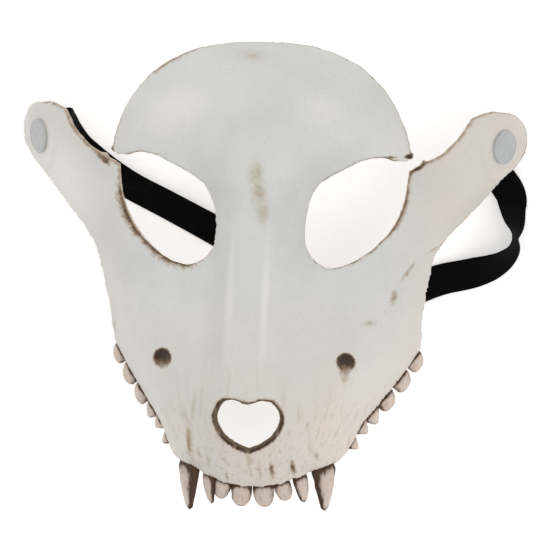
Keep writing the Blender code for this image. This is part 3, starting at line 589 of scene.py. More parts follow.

# %% [markdown]
# ## Old stains, painted highlights and painted shade
# A painter ages such a mask with thin brown and olive paint, dabbed on with a sponge and wiped.
# Paler ovals over the brows, along the nose's ridges and on the arms are painted highlights, two long
# brown ovals on the right cheek are painted shade along its crease, and the tops of the pits are
# darkened as painted shadow. Each oval is soft: its middle in millimetres, half its width and height,
# its turn in degrees and its strength. The skin stores them as values on its points, and the
# material breaks their edges up with noise.

# %% Where the stains, painted highlights and painted shade are
Oval = namedtuple("Oval", "x y wide high turn strength")
OLIVE_STAINS = (
    Oval(-0.7, 50, 4.6, 8.0, 0, 0.85), Oval(1.0, 42, 4.4, 13, 6, 0.90),
    Oval(3.4, 31.5, 3.6, 6.5, 0, 0.80), Oval(-5, 110, 8, 3.2, -6, 0.45),
    Oval(-14, 74, 4, 7, 20, 0.10), Oval(-31.4, -84, 2.3, 10.5, 1, 1.00),
    Oval(-28.5, -67, 1.0, 8.0, -8, 0.60), Oval(-78, -28, 1.6, 4.0, -10, 0.60),
    Oval(56.8, -22.7, 4.6, 1.8, 12, 0.50), Oval(-21.4, -93.6, 1.3, 4.6, 0, 0.80),
    Oval(-0.3, -93, 1.2, 9.0, 0, 0.85), Oval(4.8, -97, 1.0, 6.5, 0, 0.70),
    Oval(-34, 114, 10, 1.4, 16, 0.85), Oval(-50, 105.5, 9, 1.4, 33, 0.80),
)
BROWN_STAINS_AND_CREASE_SHADE = (
    Oval(67.3, -9.5, 2.4, 6.0, -14, 0.42), Oval(63.5, -16.5, 1.4, 2.4, 20, 0.22),
    Oval(56.8, -22.7, 4.0, 1.4, 12, 0.26), Oval(-60.5, -20.5, 0.5, 3.0, -22, 0.26),
    Oval(-31.6, -85, 1.7, 9.5, 0, 0.52), Oval(10.8, -97.6, 2.0, 5.6, 0, 0.56),
    Oval(21.0, -95.8, 1.8, 5.2, 4, 0.60), Oval(31.5, -89.6, 1.7, 3.0, 0, 0.42),
    Oval(15.6, -88, 0.9, 2.8, 0, 0.40), Oval(-26.5, -89, 0.8, 3.6, 8, 0.38),
    Oval(-12.1, -101, 0.9, 4.4, 0, 0.48), Oval(4.8, -98.5, 0.8, 4.4, 0, 0.34),
    # The two long ovals on the right cheek below are painted shade along its crease, not stains.
    Oval(87, 16, 9, 1.5, 30, 0.30), Oval(74.4, 4.1, 10, 1.7, 56, 0.34),
    Oval(0.2, -99, 0.8, 5, 0, 0.30), Oval(-17.5, -96, 0.7, 4, 0, 0.30),
    Oval(27, -94, 0.7, 3.4, 0, 0.30), Oval(-6.2, -99, 0.7, 4, 0, 0.28),
    Oval(74.5, 61.4, 3.2, 1.3, 0, 0.80), Oval(66, 60.9, 5.5, 0.9, 3, 0.40),
    Oval(-75.5, 61, 2.4, 1.1, 0, 0.34), Oval(-82, 56, 6.0, 1.6, -35, 0.50),
    Oval(78, 55.5, 5.0, 1.3, 35, 0.40), Oval(129, 64, 1.6, 8, 0, 0.30),
    Oval(-41, 103, 0.6, 0.6, 0, 0.40), Oval(13, 91, 0.7, 0.5, 0, 0.40),
    Oval(-8.6, 89.5, 0.5, 0.5, 0, 0.34), Oval(52, 99.4, 0.6, 0.5, 0, 0.34),
)
# Painted highlights: paler ovals on the brows, the nose's ridges and the arms.
PAINTED_HIGHLIGHTS = (
    Oval(-43, 81, 21, 13, 28, 0.80), Oval(31, 84, 18, 12, -20, 0.45),
    Oval(-11.5, -10, 2.4, 36, 0, 0.70), Oval(6.5, -12, 2.2, 36, 0, 0.80),
    Oval(62, 62, 12, 6, 10, 0.30), Oval(-104, 48, 30, 18, -55, 1.00),
)
# Ovals of the two pits: brown wash, with painted shadow under each pit's upper rim.
PIT_WASH_AND_SHADOW = (
    Oval(-46.3, -43.4, 5.5, 5.4, 0, 1), Oval(46.3, -42.8, 4.6, 4.9, 0, 1),
    Oval(45.8, -48.0, 2.7, 5.4, 0, 1),
)
WIDE_RIMS = (
    Oval(-47, 10, 20, 8, -30, 1), Oval(-68, 30, 16, 8, -65, 1), Oval(68, 32, 16, 7, 62, 0.4),
    Oval(-46, 106, 24, 7, 31, 0.4),
)
SOFT_EDGE = 1.35


def oval_strength(stains, x, y):
    """The strongest of some ovals at each place, from 0 to 1."""
    found = np.zeros(len(x))
    for stain in stains:
        turn = radians(stain.turn)
        off_x, off_y = 1000 * x - stain.x, 1000 * y - stain.y
        across = (off_x * cos(turn) + off_y * sin(turn)) / stain.wide
        along = (off_y * cos(turn) - off_x * sin(turn)) / stain.high
        found = np.maximum(found, stain.strength * (1 - smooth(np.hypot(across, along) / SOFT_EDGE)))
    return found


print(len(OLIVE_STAINS) + len(BROWN_STAINS_AND_CREASE_SHADE), "stains and", len(PAINTED_HIGHLIGHTS), "painted highlights")

# %% [markdown]
# ## Making meshes
# Every piece below is a list of corners and faces from numpy. One helper turns them into a smooth
# object, stores values on its points for the material, and lets it ride on the mask's only body.

# %% Add a piece
def add_piece(name, corners, faces, paint, marks=None, flat_map=None):
    mesh = bpy.data.meshes.new(name)
    mesh.from_pydata(np.asarray(corners).tolist(), [], np.asarray(faces).tolist())
    mesh.shade_smooth()
    for mark, values in (marks or {}).items():
        mesh.attributes.new(mark, "FLOAT", "POINT").data.foreach_set("value", np.asarray(values, np.float32))
    if flat_map is not None:
        corner_of = np.empty(len(mesh.loops), np.int32)
        mesh.loops.foreach_get("vertex_index", corner_of)
        layer = mesh.uv_layers.new(name="flat")
        layer.data.foreach_set("uv", np.asarray(flat_map, np.float32)[corner_of].ravel())
    mesh.materials.append(paint)
    piece = bpy.data.objects.new(name, mesh)
    bpy.context.scene.collection.objects.link(piece)
    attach(piece, "root")
    return piece

# %% [markdown]
# ## Colours and nodes
# Colours are written as a painter would pick them on a screen, in sRGB hex, and one function turns
# them into the linear values that Blender's shaders use. Another adds a node, sets it and links it.

# %% One helper for colours and one for nodes
def linear(code):
    """An sRGB hex colour as the linear RGBA that a shader takes."""
    values = [int(code[i:i + 2], 16) / 255 for i in (0, 2, 4)]
    return (*[v / 12.92 if v <= 0.04045 else ((v + 0.055) / 1.055) ** 2.4 for v in values], 1)


def add_node(tree, kind, settings=None, links=None):
    """Add a node: settings are its options, its sockets' values or a ramp's (position, colour) ends.

    Links are what feeds its sockets: an output, or a node whose first output is meant."""
    node = tree.nodes.new(kind)
    for name, value in (settings or {}).items():
        if name == "ramp":
            for element, (position, code) in zip(node.color_ramp.elements, value):
                element.position, element.color = position, linear(code)
        elif isinstance(name, str) and hasattr(node, name):
            setattr(node, name, value)
        else:
            node.inputs[name].default_value = value
    for name, source in (links or {}).items():
        tree.links.new(getattr(source, "outputs", [source])[0], node.inputs[name])
    return node


def new_paint(name, settings):
    """A material with its shader, and where its points are in metres."""
    paint = bpy.data.materials.new(name)
    paint.use_nodes = True
    tree = paint.node_tree
    shader = tree.nodes["Principled BSDF"]
    for socket, value in settings.items():
        shader.inputs[socket].default_value = value
    place = add_node(tree, "ShaderNodeTexCoord").outputs["Object"]
    return paint, tree, shader, place


print("Bone white is", [round(v, 3) for v in linear("E4E2DB")[:3]], "in linear light")

# %% [markdown]
# ## Bone paint on moulded polyurethane foam
# The real skin is integral-skin polyurethane foam, moulded, then sprayed with matt acrylic paint
# and rubbed with a brown wash. To the eye that is a chalky white with a faint sheen on its ridges,
# a cooler forehead and a warmer snout, fine grey specks, and brown in every hollow. Paler patches on
# the brows, the nose's ridges and the arms are painted highlights, and the umber at the tops of the
# pits, along the cheek crease and beside the nose hole is painted shade. Acrylic paint has an IOR
# near 1.49 and a roughness of about one half.

# %% The tone of the bone
foam_paint, tree, shader, place = new_paint("sprayed_polyurethane_foam", {"IOR": 1.49, "Metallic": 0})
cloud = add_node(tree, "ShaderNodeTexNoise", {"Scale": 1 / 0.030, "Detail": 4, "Roughness": 0.55},
                 {"Vector": place})
tone = add_node(tree, "ShaderNodeValToRGB", {"ramp": ((0.34, "D6D7D2"), (0.68, "DFDFDA"))}, {"Fac": cloud})
warm = add_node(tree, "ShaderNodeAttribute", {"attribute_name": "warm"}).outputs["Fac"]
warmed = add_node(tree, "ShaderNodeMixRGB", {"Color2": linear("E0D3C8")}, {"Fac": warm, "Color1": tone})
# Painted highlight: paler on the brows, the nose's ridges and the arms.
painted_highlight = add_node(tree, "ShaderNodeAttribute", {"attribute_name": "painted_highlight"}).outputs["Fac"]
paler = add_node(tree, "ShaderNodeMixRGB", {"Color2": linear("EEEAE4")}, {"Fac": painted_highlight, "Color1": warmed})
print("Clouds of tone are 30 mm across")

# %% [markdown]
# The wash gathers in the pits and along the rims, and the same umber is painted shade at the tops
# of the pits, along the cheek crease and beside the nose hole. The points carry how much wash and
# painted shade they hold. Noise is added before a ramp cuts it, so the wash ends in flecks and
# streaks as rubbed paint does. Thin wash is tan, and only where it pools does it turn to umber.

# %% The brown wash with painted shade, and the olive stains
flecks = add_node(tree, "ShaderNodeTexNoise", {"Scale": 1 / 0.0030, "Detail": 6, "Roughness": 0.66},
                  {"Vector": place})
wash = add_node(tree, "ShaderNodeAttribute", {"attribute_name": "wash"}).outputs["Fac"]
soaked = add_node(tree, "ShaderNodeMath", {"operation": "MULTIPLY_ADD", 1: 0.7}, {0: flecks, 2: wash})
caught = add_node(tree, "ShaderNodeMapRange", {"From Min": 0.50, "From Max": 1.05}, {"Value": soaked})
umber = add_node(tree, "ShaderNodeValToRGB", {"ramp": ((0, "B2936F"), (1, "362213"))}, {"Fac": caught})
cover = add_node(tree, "ShaderNodeMath", {"operation": "MULTIPLY", "use_clamp": True, 1: 1.7}, {0: caught})
# Umber mix: brown wash, and painted shade in the pits, along the crease and beside the nose hole.
washed_and_shaded = add_node(tree, "ShaderNodeMixRGB", links={"Fac": cover, "Color1": paler, "Color2": umber})
olive = add_node(tree, "ShaderNodeAttribute", {"attribute_name": "olive"}).outputs["Fac"]
patchy = add_node(tree, "ShaderNodeMapRange", {"From Min": 0.22, "From Max": 0.64}, {"Value": flecks})
sponge = add_node(tree, "ShaderNodeMath", {"operation": "MULTIPLY"}, {0: patchy, 1: olive})
dabbed = add_node(tree, "ShaderNodeMixRGB", {"Color2": linear("AE9D78")}, {"Fac": sponge, "Color1": washed_and_shaded})
print("Flecks of wash are 3 mm and finer")

# %% [markdown]
# The brush leaves faint streaks that run down the snout, and overspray leaves fine specks, under a
# millimetre across. They are drawn slightly coarser than they are, or they would not show at this
# distance.

# %% Streaks, specks, sheen and grain
drawn = add_node(tree, "ShaderNodeMapping", {"Scale": (1, 0.10, 1)}, {"Vector": place})
brushed = add_node(tree, "ShaderNodeTexNoise", {"Scale": 1 / 0.0028, "Detail": 3, "Roughness": 0.55},
                   {"Vector": drawn})
streak = add_node(tree, "ShaderNodeMapRange", {"From Min": 0.53, "From Max": 0.76, "To Max": 0.62},
                  {"Value": brushed})
snout = add_node(tree, "ShaderNodeAttribute", {"attribute_name": "drawn"}).outputs["Fac"]
on_snout = add_node(tree, "ShaderNodeMath", {"operation": "MULTIPLY"}, {0: streak, 1: snout})
streaked = add_node(tree, "ShaderNodeMixRGB", {"Color2": linear("B7A48F")},
                    {"Fac": on_snout, "Color1": dabbed})
dust = add_node(tree, "ShaderNodeTexNoise", {"Scale": 1 / 0.0012, "Detail": 2, "Roughness": 0.5},
                {"Vector": place})
speck = add_node(tree, "ShaderNodeValToRGB", {"ramp": ((0.26, "B9B7B0"), (0.44, "FFFFFF"))}, {"Fac": dust})
specked = add_node(tree, "ShaderNodeMixRGB", {"blend_type": "MULTIPLY", "Fac": 0.16},
                   {"Color1": streaked, "Color2": speck})
sheen = add_node(tree, "ShaderNodeMapRange", {"To Min": 0.44, "To Max": 0.66}, {"Value": soaked})
grain = add_node(tree, "ShaderNodeTexNoise", {"Scale": 1 / 0.0016, "Detail": 5, "Roughness": 0.6},
                 {"Vector": place})
fine = add_node(tree, "ShaderNodeBump", {"Strength": 0.25, "Distance": 0.0002}, {"Height": grain})
coarse = add_node(tree, "ShaderNodeBump", {"Strength": 0.25, "Distance": 0.0004},
                  {"Height": flecks, "Normal": fine})
tree.links.new(specked.outputs["Color"], shader.inputs["Base Color"])
tree.links.new(sheen.outputs["Result"], shader.inputs["Roughness"])
tree.links.new(coarse.outputs["Normal"], shader.inputs["Normal"])
print("Grain of the sprayed skin: 1.6 mm, drawn coarser than the real half millimetre")

# %% [markdown]
# ## The shell
# The front follows the height with its relief, roots and lumps. The back is the same net, moved in
# by the wall. Near a rim both are rounded off, as a knife edge rubbed with paper is, and the cut
# itself is a band of open foam with rows of its own.

# %% How rims are rounded and the front is shaped
RIM_ROUND = 0.0012
LUMPS = ((0.00014, 0.011, 1), (0.00006, 0.0042, 2))
SEAT_EDGE, SEAT_CALM = 0.9, 0.004


def rounding(to_rim):
    """How far the skin sinks near a rim, as a quarter of a circle."""
    return RIM_ROUND - np.sqrt(RIM_ROUND**2 - np.clip(RIM_ROUND - to_rim, 0, RIM_ROUND) ** 2)


def front_skin(corners, loops):
    """The front's points, the bare surface and its normals, and how far each is from a rim."""
    x, y = corners[:, 0], corners[:, 1]
    front, normals = place_on(corners)
    to_rim = distance_to(loops, front)
    lumps = lumpy(front, LUMPS)
    seat = np.minimum.reduce([np.linalg.norm(front - rivet_frame(side)[0], axis=1) for side in (-1, 1)])
    lumps *= smooth((seat - SEAT_EDGE * DISC_RADIUS) / SEAT_CALM)
    moved = front + normals * (roots(x, y) + lumps - rounding(to_rim))[:, None]
    moved[:, 2] -= relief(x, y)
    return moved, front, normals, to_rim


print("Rims are rounded by", 1000 * RIM_ROUND, "mm")

# %% Where the paint is washed, painted with shade or highlights, or warm
RIM_WASH, RIM_WASH_REACH = 0.40, 0.0009
WIDER, WIDE_WASH = 2.6, 0.20
GUM_WASH, GUM_TOP, GUM_FADE = 0.25, -0.30, 0.04
SNOUT_TOP, SNOUT_FADE = -0.30, 0.40
NOSE_SHADE, NOSE_BAND = 0.52, (0.0001, 0.0011)
UNDER_NOSE, LEFT_OF_NOSE = (0.03, 0.06), (0.6, 0.3)
PIT_WASH, PIT_SHADE, PIT_PALEST, PIT_EDGE = 0.64, 0.34, 0.28, 0.40
WARM_TOP, WARM_FADE = 0.10, 0.9
WARM_CHEEK, CHEEK_FROM, CHEEK_FADE = 0.7, 0.42, 0.3
WARM_MEAN, WARM_RIGHT, WARM_CLOUDS, CLOUD_SIZE = 0.66, 0.30, 0.25, 0.024


def front_marks(front, to_rim, to_hole):
    """The values that the paint reads at each point of the front."""
    x, y = front[:, 0], front[:, 1]
    up = y / HALF_HEIGHT
    # Darker towards the top of each pit: painted shadow under its upper rim, over a brown wash.
    above_pit = (up - PIT_PLACE[1]) * HALF_HEIGHT / PIT_RADIUS
    pit = smooth(oval_strength(PIT_WASH_AND_SHADOW, x, y) / PIT_EDGE)
    low = pit * np.clip(PIT_WASH + PIT_SHADE * above_pit, PIT_PALEST, 1)
    low += oval_strength(BROWN_STAINS_AND_CREASE_SHADE, x, y)
    wide = smooth(2 * oval_strength(WIDE_RIMS, x, y))
    gum = smooth((GUM_TOP - up) / GUM_FADE)
    reach = RIM_WASH_REACH * (1 + WIDER * wide)
    low += (RIM_WASH + GUM_WASH * gum + WIDE_WASH * wide) * np.exp(-to_rim / reach)
    # Along the left and lower sides of the nose hole, the umber is painted shade.
    under_nose = smooth((NOSE_UP - UNDER_NOSE[0] - up) / UNDER_NOSE[1])
    left_of_nose = smooth((-x / NOSE_HALF_WIDTH - LEFT_OF_NOSE[0]) / LEFT_OF_NOSE[1])
    shaded = np.clip(under_nose + left_of_nose, 0, 1)
    low += NOSE_SHADE * shaded * (1 - smooth((to_hole - NOSE_BAND[0]) / NOSE_BAND[1]))
    across = x / HALF_WIDTH
    warmth = smooth((WARM_TOP - up) / WARM_FADE)
    warmth = warmth + WARM_CHEEK * smooth((np.abs(across) - CHEEK_FROM) / CHEEK_FADE)
    clouds = WARM_MEAN + WARM_RIGHT * across + WARM_CLOUDS * rough(front, CLOUD_SIZE, 3)
    warmth = np.clip(warmth, 0, 1) * clouds
    # Returned: wash with painted shade, warmth, olive stains, painted highlights and where the snout is
    # drawn.
    return {"wash": low, "warm": np.clip(warmth, 0, 1), "olive": oval_strength(OLIVE_STAINS, x, y),
            "painted_highlight": oval_strength(PAINTED_HIGHLIGHTS, x, y), "drawn": smooth((SNOUT_TOP - up) / SNOUT_FADE)}


print("Wash reaches", 1000 * RIM_WASH_REACH, "mm in from a rim")

# %% The fine net of the shell
STRAYS = ((0.00030, 0.0065), (0.00018, 0.0022))
BACK_LUMPS = ((0.00025, 0.014, 5),)


def ragged(loop, first_seed):
    """A loop whose points stray by a few tenths of a millimetre, as a knife cut does."""
    run = np.roll(loop, -1, axis=0) - np.roll(loop, 1, axis=0)
    run /= np.linalg.norm(run, axis=1)[:, None]
    flat = np.column_stack([loop, np.zeros(len(loop))])
    stray = lumpy(flat, [(*layer, first_seed + number) for number, layer in enumerate(STRAYS)])
    return loop + np.column_stack([-run[:, 1], run[:, 0]]) * stray[:, None]


loops = [
    ragged(outline_loop(RIM_STEP), 11), ragged(nose_loop(RIM_STEP * 0.8), 13), bore_loop(-1), bore_loop(1),
]
corners, faces = triangulate(loops, skin_points(loops, SKIN_STEP))
front, bare, normals, to_rim = front_skin(corners, loops)
marks = front_marks(bare, to_rim, distance_to(loops[1:2], bare))
back = bare - normals * (WALL - rounding(to_rim) - lumpy(bare, BACK_LUMPS))[:, None]
mount = frame["record"]["mounts"][0]
side_of_mount = -1 if mount["pos_m"][0] < 0 else 1
seat_centre, seat_normal = rivet_frame(side_of_mount)[:2]
LIFT = mount["pos_m"][2] - (seat_centre + seat_normal * (GAP + DISC_THICKNESS))[2]
print(len(corners), "points on the front; the mask is moved up by", round(1000 * LIFT, 2), "mm")

# %% The cut edge and the finished shell
BAND_ROWS = (0.10, 0.30, 0.50, 0.70, 0.90)
BAND_BULGE = 0.0003
BAND_PITS = ((0.00022, 0.0016, 21), (0.00016, 0.005, 22))
NOSE_DROP, NOSE_FADE = 0.10, 0.006
BAND_WASH, BAND_NOSE_SHADE, BAND_WARM, BAND_OLIVE = 0.32, 0.40, 0.9, 0.35
BACK_WASH, BACK_RIM_WASH, BACK_REACH, BACK_WARM = 0.10, 0.22, 0.003, 0.75


def wall_band(front, back, faces, out_by):
    """Rows of points and faces between the borders of front and back, bulging outwards a little."""
    ends = np.concatenate([faces[:, [0, 1]], faces[:, [1, 2]], faces[:, [2, 0]]])
    whole = {tuple(end) for end in ends.tolist()}
    border = np.array([end for end in ends.tolist() if (end[1], end[0]) not in whole])
    used, place = np.unique(border[:, 0], return_inverse=True)
    number = {int(corner): i for i, corner in enumerate(used)}
    starts, stops = place, np.array([number[int(b)] for b in border[:, 1]])
    run = np.zeros((len(used), 3))
    run[starts] += front[border[:, 1]] - front[border[:, 0]]
    run[stops] += front[border[:, 1]] - front[border[:, 0]]
    outward = np.cross(run, front[used] - back[used])
    outward /= np.linalg.norm(outward, axis=1)[:, None]
    rows = []
    for share in BAND_ROWS:
        middle = front[used] * (1 - share) + back[used] * share
        bulge = out_by * sin(pi * share) ** 0.5
        rows.append(middle + outward * (bulge + lumpy(middle, BAND_PITS))[:, None])
    first = 2 * len(front)
    row_start = [first + i * len(used) for i in range(len(rows))]
    band = []
    lines = [border[:, :2]] + [np.column_stack([starts, stops]) + start for start in row_start]
    lines.append(border[:, :2] + len(front))
    for upper, lower in zip(lines[:-1], lines[1:]):
        band.append(np.column_stack([upper[:, 1], upper[:, 0], lower[:, 0]]))
        band.append(np.column_stack([upper[:, 1], lower[:, 0], lower[:, 1]]))
    return np.concatenate(rows), np.concatenate(band)


band_points, band_faces = wall_band(front, back, faces, BAND_BULGE)
every = np.concatenate([front, back, band_points]) + (0, 0, LIFT)
inner = {"wash": BACK_WASH + BACK_RIM_WASH * np.exp(-to_rim / BACK_REACH),
         "warm": np.full(len(back), BACK_WARM)}
# Inside the nose hole the cut band is darker: painted shade.
to_nose = np.linalg.norm(band_points[:, :2] - (0, (NOSE_UP - NOSE_DROP) * HALF_HEIGHT), axis=1)
in_nose = 1 - smooth((to_nose - NOSE_HEIGHT) / NOSE_FADE)
band = {"wash": BAND_WASH + BAND_NOSE_SHADE * in_nose, "warm": np.full(len(band_points), BAND_WARM),
        "olive": np.full(len(band_points), BAND_OLIVE)}
none = np.zeros(len(back)), np.zeros(len(band_points))
values = {name: np.concatenate([marks[name], inner.get(name, none[0]), band.get(name, none[1])])
          for name in marks}
net = np.concatenate([faces, faces[:, ::-1] + len(front), band_faces])
shell = add_piece("foam_shell", every, net, foam_paint, values)
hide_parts("skull_shell")
print("Shell:", len(net), "triangles")

# %% [markdown]
# ## Tooth paint
# The teeth are the same foam under a pinkish ivory acrylic. An umber wash lies dark in the line of
# the gum and at their tips, and the same umber is painted shade on each tooth's sides towards its
# neighbours and on the inner side of the fangs. Each tooth carries how much wash and painted shade a
# point has, and the rest is paler.

# %% Ivory acrylic with an umber wash and painted shade
tooth_paint, tree, shader, place = new_paint("ivory_acrylic_on_foam", {"IOR": 1.49, "Metallic": 0})
# The root values are umber wash at the gum line and tips, and painted shade on the sides and the fangs' inner
# side.
root = add_node(tree, "ShaderNodeAttribute", {"attribute_name": "root"}).outputs["Fac"]
stretched = add_node(tree, "ShaderNodeMapping", {"Scale": (1, 0.32, 0.6)}, {"Vector": place})
streaks = add_node(tree, "ShaderNodeTexNoise", {"Scale": 1 / 0.0022, "Detail": 5, "Roughness": 0.62},
                   {"Vector": stretched})
ivory = add_node(tree, "ShaderNodeValToRGB", {"ramp": ((0.30, "C6AF9C"), (0.62, "E2D2C6"))}, {"Fac": streaks})
sunk = add_node(tree, "ShaderNodeMath", {"operation": "MULTIPLY_ADD", 1: 1.1}, {0: streaks, 2: root})
dark = add_node(tree, "ShaderNodeValToRGB", {"ramp": ((0.64, "000000"), (1, "FFFFFF"))}, {"Fac": sunk})
washed_and_shaded_teeth = add_node(tree, "ShaderNodeMixRGB", {"Color2": linear("46290F")}, {"Fac": dark, "Color1": ivory})
gloss = add_node(tree, "ShaderNodeMapRange", {"To Min": 0.36, "To Max": 0.60}, {"Value": sunk})
cracks = add_node(tree, "ShaderNodeBump", {"Strength": 0.4, "Distance": 0.0005}, {"Height": streaks})
tree.links.new(washed_and_shaded_teeth.outputs["Color"], shader.inputs["Base Color"])
tree.links.new(gloss.outputs["Result"], shader.inputs["Roughness"])
tree.links.new(cracks.outputs["Normal"], shader.inputs["Normal"])
print("Streaks on the teeth are 2.2 mm wide and three times as long")

# %% [markdown]
# ## Teeth
# Each tooth is lofted through rings as in the CAD model, with many more rings between them. Its
# root is sunk into the gum so that no seam shows, and soft noise takes off its machined look. Roots
# are a little fuller than the model's, cheek teeth shorter, and two left teeth lean inward.

# %% Loft the teeth
TOOTH_RINGS = 22
TOOTH_TURNS = 28
TIP_CROWDING = 1.25
THINNEST = 0.05
LEAN_END = 0.3
SWAY_POWER = 1.4
BUMP_SHARE, BUMP_SIZE = 0.07, 0.0032
SINK = 0.0012
ROOT_WASH, ROOT_FADE = 0.72, 0.11
# The side and inner values are painted shade; the root and tip values are umber wash.
SIDE_SHADE, SIDE_POWER, SIDE_LOSS = 0.52, 3.5, 0.45
TIP_WASH, TIP_FROM = 0.36, 0.84
INNER_SHADE = {-1: 0.52, 1: 0.26}
SHORTER = {"cusp": 0.88, "molar": 0.82}
FULLER = {
    "fang": (1.24, 0.95), "point": (1.12, 1.0), "blade": (1.10, 1.06), "cusp": (1.15, 1.0),
    "molar": (1.12, 1.0),
}
SWAY = {("fang", -1): (0.0018, 0.0052), ("point", -1): (0.0014, 0.0056)}


def loft_tooth(row, side):
    """Corners and faces of one tooth, and how much umber wash and painted shade each corner carries."""
    seat = stand(row, side)
    run, out, axis, normal = seat["run"], seat["out"], seat["axis"], seat["normal"]
    base = seat["root"] - out * SINK
    reach = row.length * SHORTER.get(row.form, 1) + SINK + 2 * GAP
    form = FORMS[row.form]
    base_sway, tip_sway = SWAY.get((row.form, side), (0, 0))
    table = np.array([(ring.along, ring.width, ring.thickness, ring.drift) for ring in form])
    stops = np.linspace(0, 1, TOOTH_RINGS)[:-1]
    stops = 1 - (1 - stops) ** TIP_CROWDING
    knots = np.broadcast_to(np.append(table[:, 0], 1), (len(stops), len(table) + 1))
    ends = np.vstack([table, [1, 0, 0, table[-1, 3]]])
    read = [curve_at(knots, np.broadcast_to(column, knots.shape), stops) for column in ends[:, 1:].T]
    width, thick, drift = np.maximum(read[0], THINNEST), np.maximum(read[1], THINNEST), read[2]
    inward = run * (-1 if run[0] * side > 0 else 1)
    turns = np.arange(TOOTH_TURNS) * 2 * pi / TOOTH_TURNS
    rings = []
    for number, along in enumerate(stops):
        share = min(1, along / LEAN_END)
        facing = (1 - share) * out + share * axis
        across = np.cross(facing / np.linalg.norm(facing), run)
        middle = base + axis * along * reach + inward * drift[number] * row.length
        middle = middle + inward * (base_sway + (tip_sway - base_sway) * along**SWAY_POWER)
        fuller = FULLER[row.form][0] + (FULLER[row.form][1] - FULLER[row.form][0]) * along
        wide = np.outer(np.cos(turns), run) * width[number] * fuller * row.width / 2
        deep = np.outer(np.sin(turns), across) * thick[number] * TOOTH_THICKNESS * row.thickness / 2
        rings.append(middle + wide + deep)
    corners = np.array(rings)
    centres = corners.mean(axis=1, keepdims=True)
    seed = 31 + 3 * round(1000 * row.across) * side
    bumps = 1 + BUMP_SHARE * rough(corners.reshape(-1, 3), BUMP_SIZE, seed).reshape(corners.shape[:2])
    corners = centres + (corners - centres) * bumps[:, :, None]
    tip = base + axis * reach + inward * (table[-1, 3] * row.length + tip_sway)
    along = np.repeat(stops, TOOTH_TURNS)
    facing_side = np.tile(np.cos(turns), len(stops))
    towards_middle = facing_side * (run @ inward)
    ring_wash_and_shade = ROOT_WASH * np.exp(-along / ROOT_FADE)
    # Darker on the sides towards the neighbours and on the inner side of fangs and pointed incisors: painted
    # shade.
    ring_wash_and_shade += SIDE_SHADE * np.abs(facing_side) ** SIDE_POWER * (1 - SIDE_LOSS * along)
    if row.form in ("fang", "point"):
        ring_wash_and_shade += INNER_SHADE[side] * np.clip(towards_middle, 0, 1) ** 2
    if row.form != "molar":
        ring_wash_and_shade += TIP_WASH * smooth((along - TIP_FROM) / (1 - TIP_FROM))
    return *ring_body(corners, base, tip), np.append(ring_wash_and_shade, [1, 0])


for row in TEETH:
    for side, word in ((-1, "left"), (1, "right")):
        node = row.name.format(word)
        corners, faces, tooth_wash_and_shade = loft_tooth(row, side)
        tooth = add_piece("cast_" + node, corners + (0, 0, LIFT), faces, tooth_paint, {"root": tooth_wash_and_shade})
        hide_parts(node)
print("Each tooth has", len(faces), "triangles")

# %% [markdown]
# ## Rivets
# A rivet is two discs of injection-moulded polypropylene that snap together through arm and strap.
# Its front is flat, pale grey and faintly glossy, with a rounded rim. Polypropylene has an IOR of
# 1.49, and a moulded face a roughness near 0.35. It is lathed: a profile turned round the post.

# %% Grey polypropylene
disc_paint, tree, shader, place = new_paint("moulded_grey_polypropylene", {"IOR": 1.49, "Metallic": 0})
haze = add_node(tree, "ShaderNodeTexNoise", {"Scale": 1 / 0.004, "Detail": 4, "Roughness": 0.6},
                {"Vector": place})
grey = add_node(tree, "ShaderNodeValToRGB", {"ramp": ((0.3, "B2B4B3"), (0.7, "BFC1C0"))}, {"Fac": haze})
shine = add_node(tree, "ShaderNodeMapRange", {"To Min": 0.30, "To Max": 0.42}, {"Value": haze})
tree.links.new(grey.outputs["Color"], shader.inputs["Base Color"])
tree.links.new(shine.outputs["Result"], shader.inputs["Roughness"])
print("Disc:", [round(v, 3) for v in linear("BBBDBC")[:3]])

# %% Lathe the rivets
DISC_SIDES = 72
back_plane = -(WALL + STRAP_THICKNESS + 2 * GAP)
top = GAP + DISC_THICKNESS
EDGE_ROUND = 0.0005
edge = [(DISC_RADIUS - EDGE_ROUND * (1 - sin(turn)), top - EDGE_ROUND * (1 - cos(turn)))
        for turn in np.linspace(0, pi / 2, 6)]
RIVET_PROFILE = (
    (0.0010, top - 0.00004), (0.70 * DISC_RADIUS, top - 0.00002), (0.80 * DISC_RADIUS, top - 0.00005),
    (0.84 * DISC_RADIUS, top - 0.00018), (0.88 * DISC_RADIUS, top - 0.00003), *edge,
    (DISC_RADIUS, GAP * 0.4), (POST_RADIUS, GAP * 0.4), (POST_RADIUS, back_plane),
    (BACK_DISC_RADIUS - 0.0003, back_plane), (BACK_DISC_RADIUS, back_plane - 0.0003),
    (BACK_DISC_RADIUS, back_plane - DISC_THICKNESS + 0.0004),
    (BACK_DISC_RADIUS - 0.0004, back_plane - DISC_THICKNESS),
)
for side, word in ((-1, "left"), (1, "right")):
    centre, normal, up_arm, along = rivet_frame(side)
    turns = np.arange(DISC_SIDES) * 2 * pi / DISC_SIDES
    circle = np.outer(np.cos(turns), up_arm) + np.outer(np.sin(turns), along)
    rings = np.array([centre + radius * circle + rise * normal for radius, rise in RIVET_PROFILE])
    body = ring_body(rings, centre + normal * top, centre + normal * (back_plane - DISC_THICKNESS))
    disc = add_piece("snap_rivet_" + word, body[0] + (0, 0, LIFT), body[1], disc_paint)
    disc.data.set_sharp_from_angle(angle=radians(50))
    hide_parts("rivet_" + word)
print("Rivet discs are", 2000 * DISC_RADIUS, "mm across")

# %% [markdown]
# ## Woven elastic
# The strap is polyester elastic, woven flat, with rubber threads that run its length. They show as
# fine ribs, and the weft between them as a faint ladder. Black polyester yarn is matt, with a soft
# sheen at a low angle. The ribs are real relief, and the weft is bump.

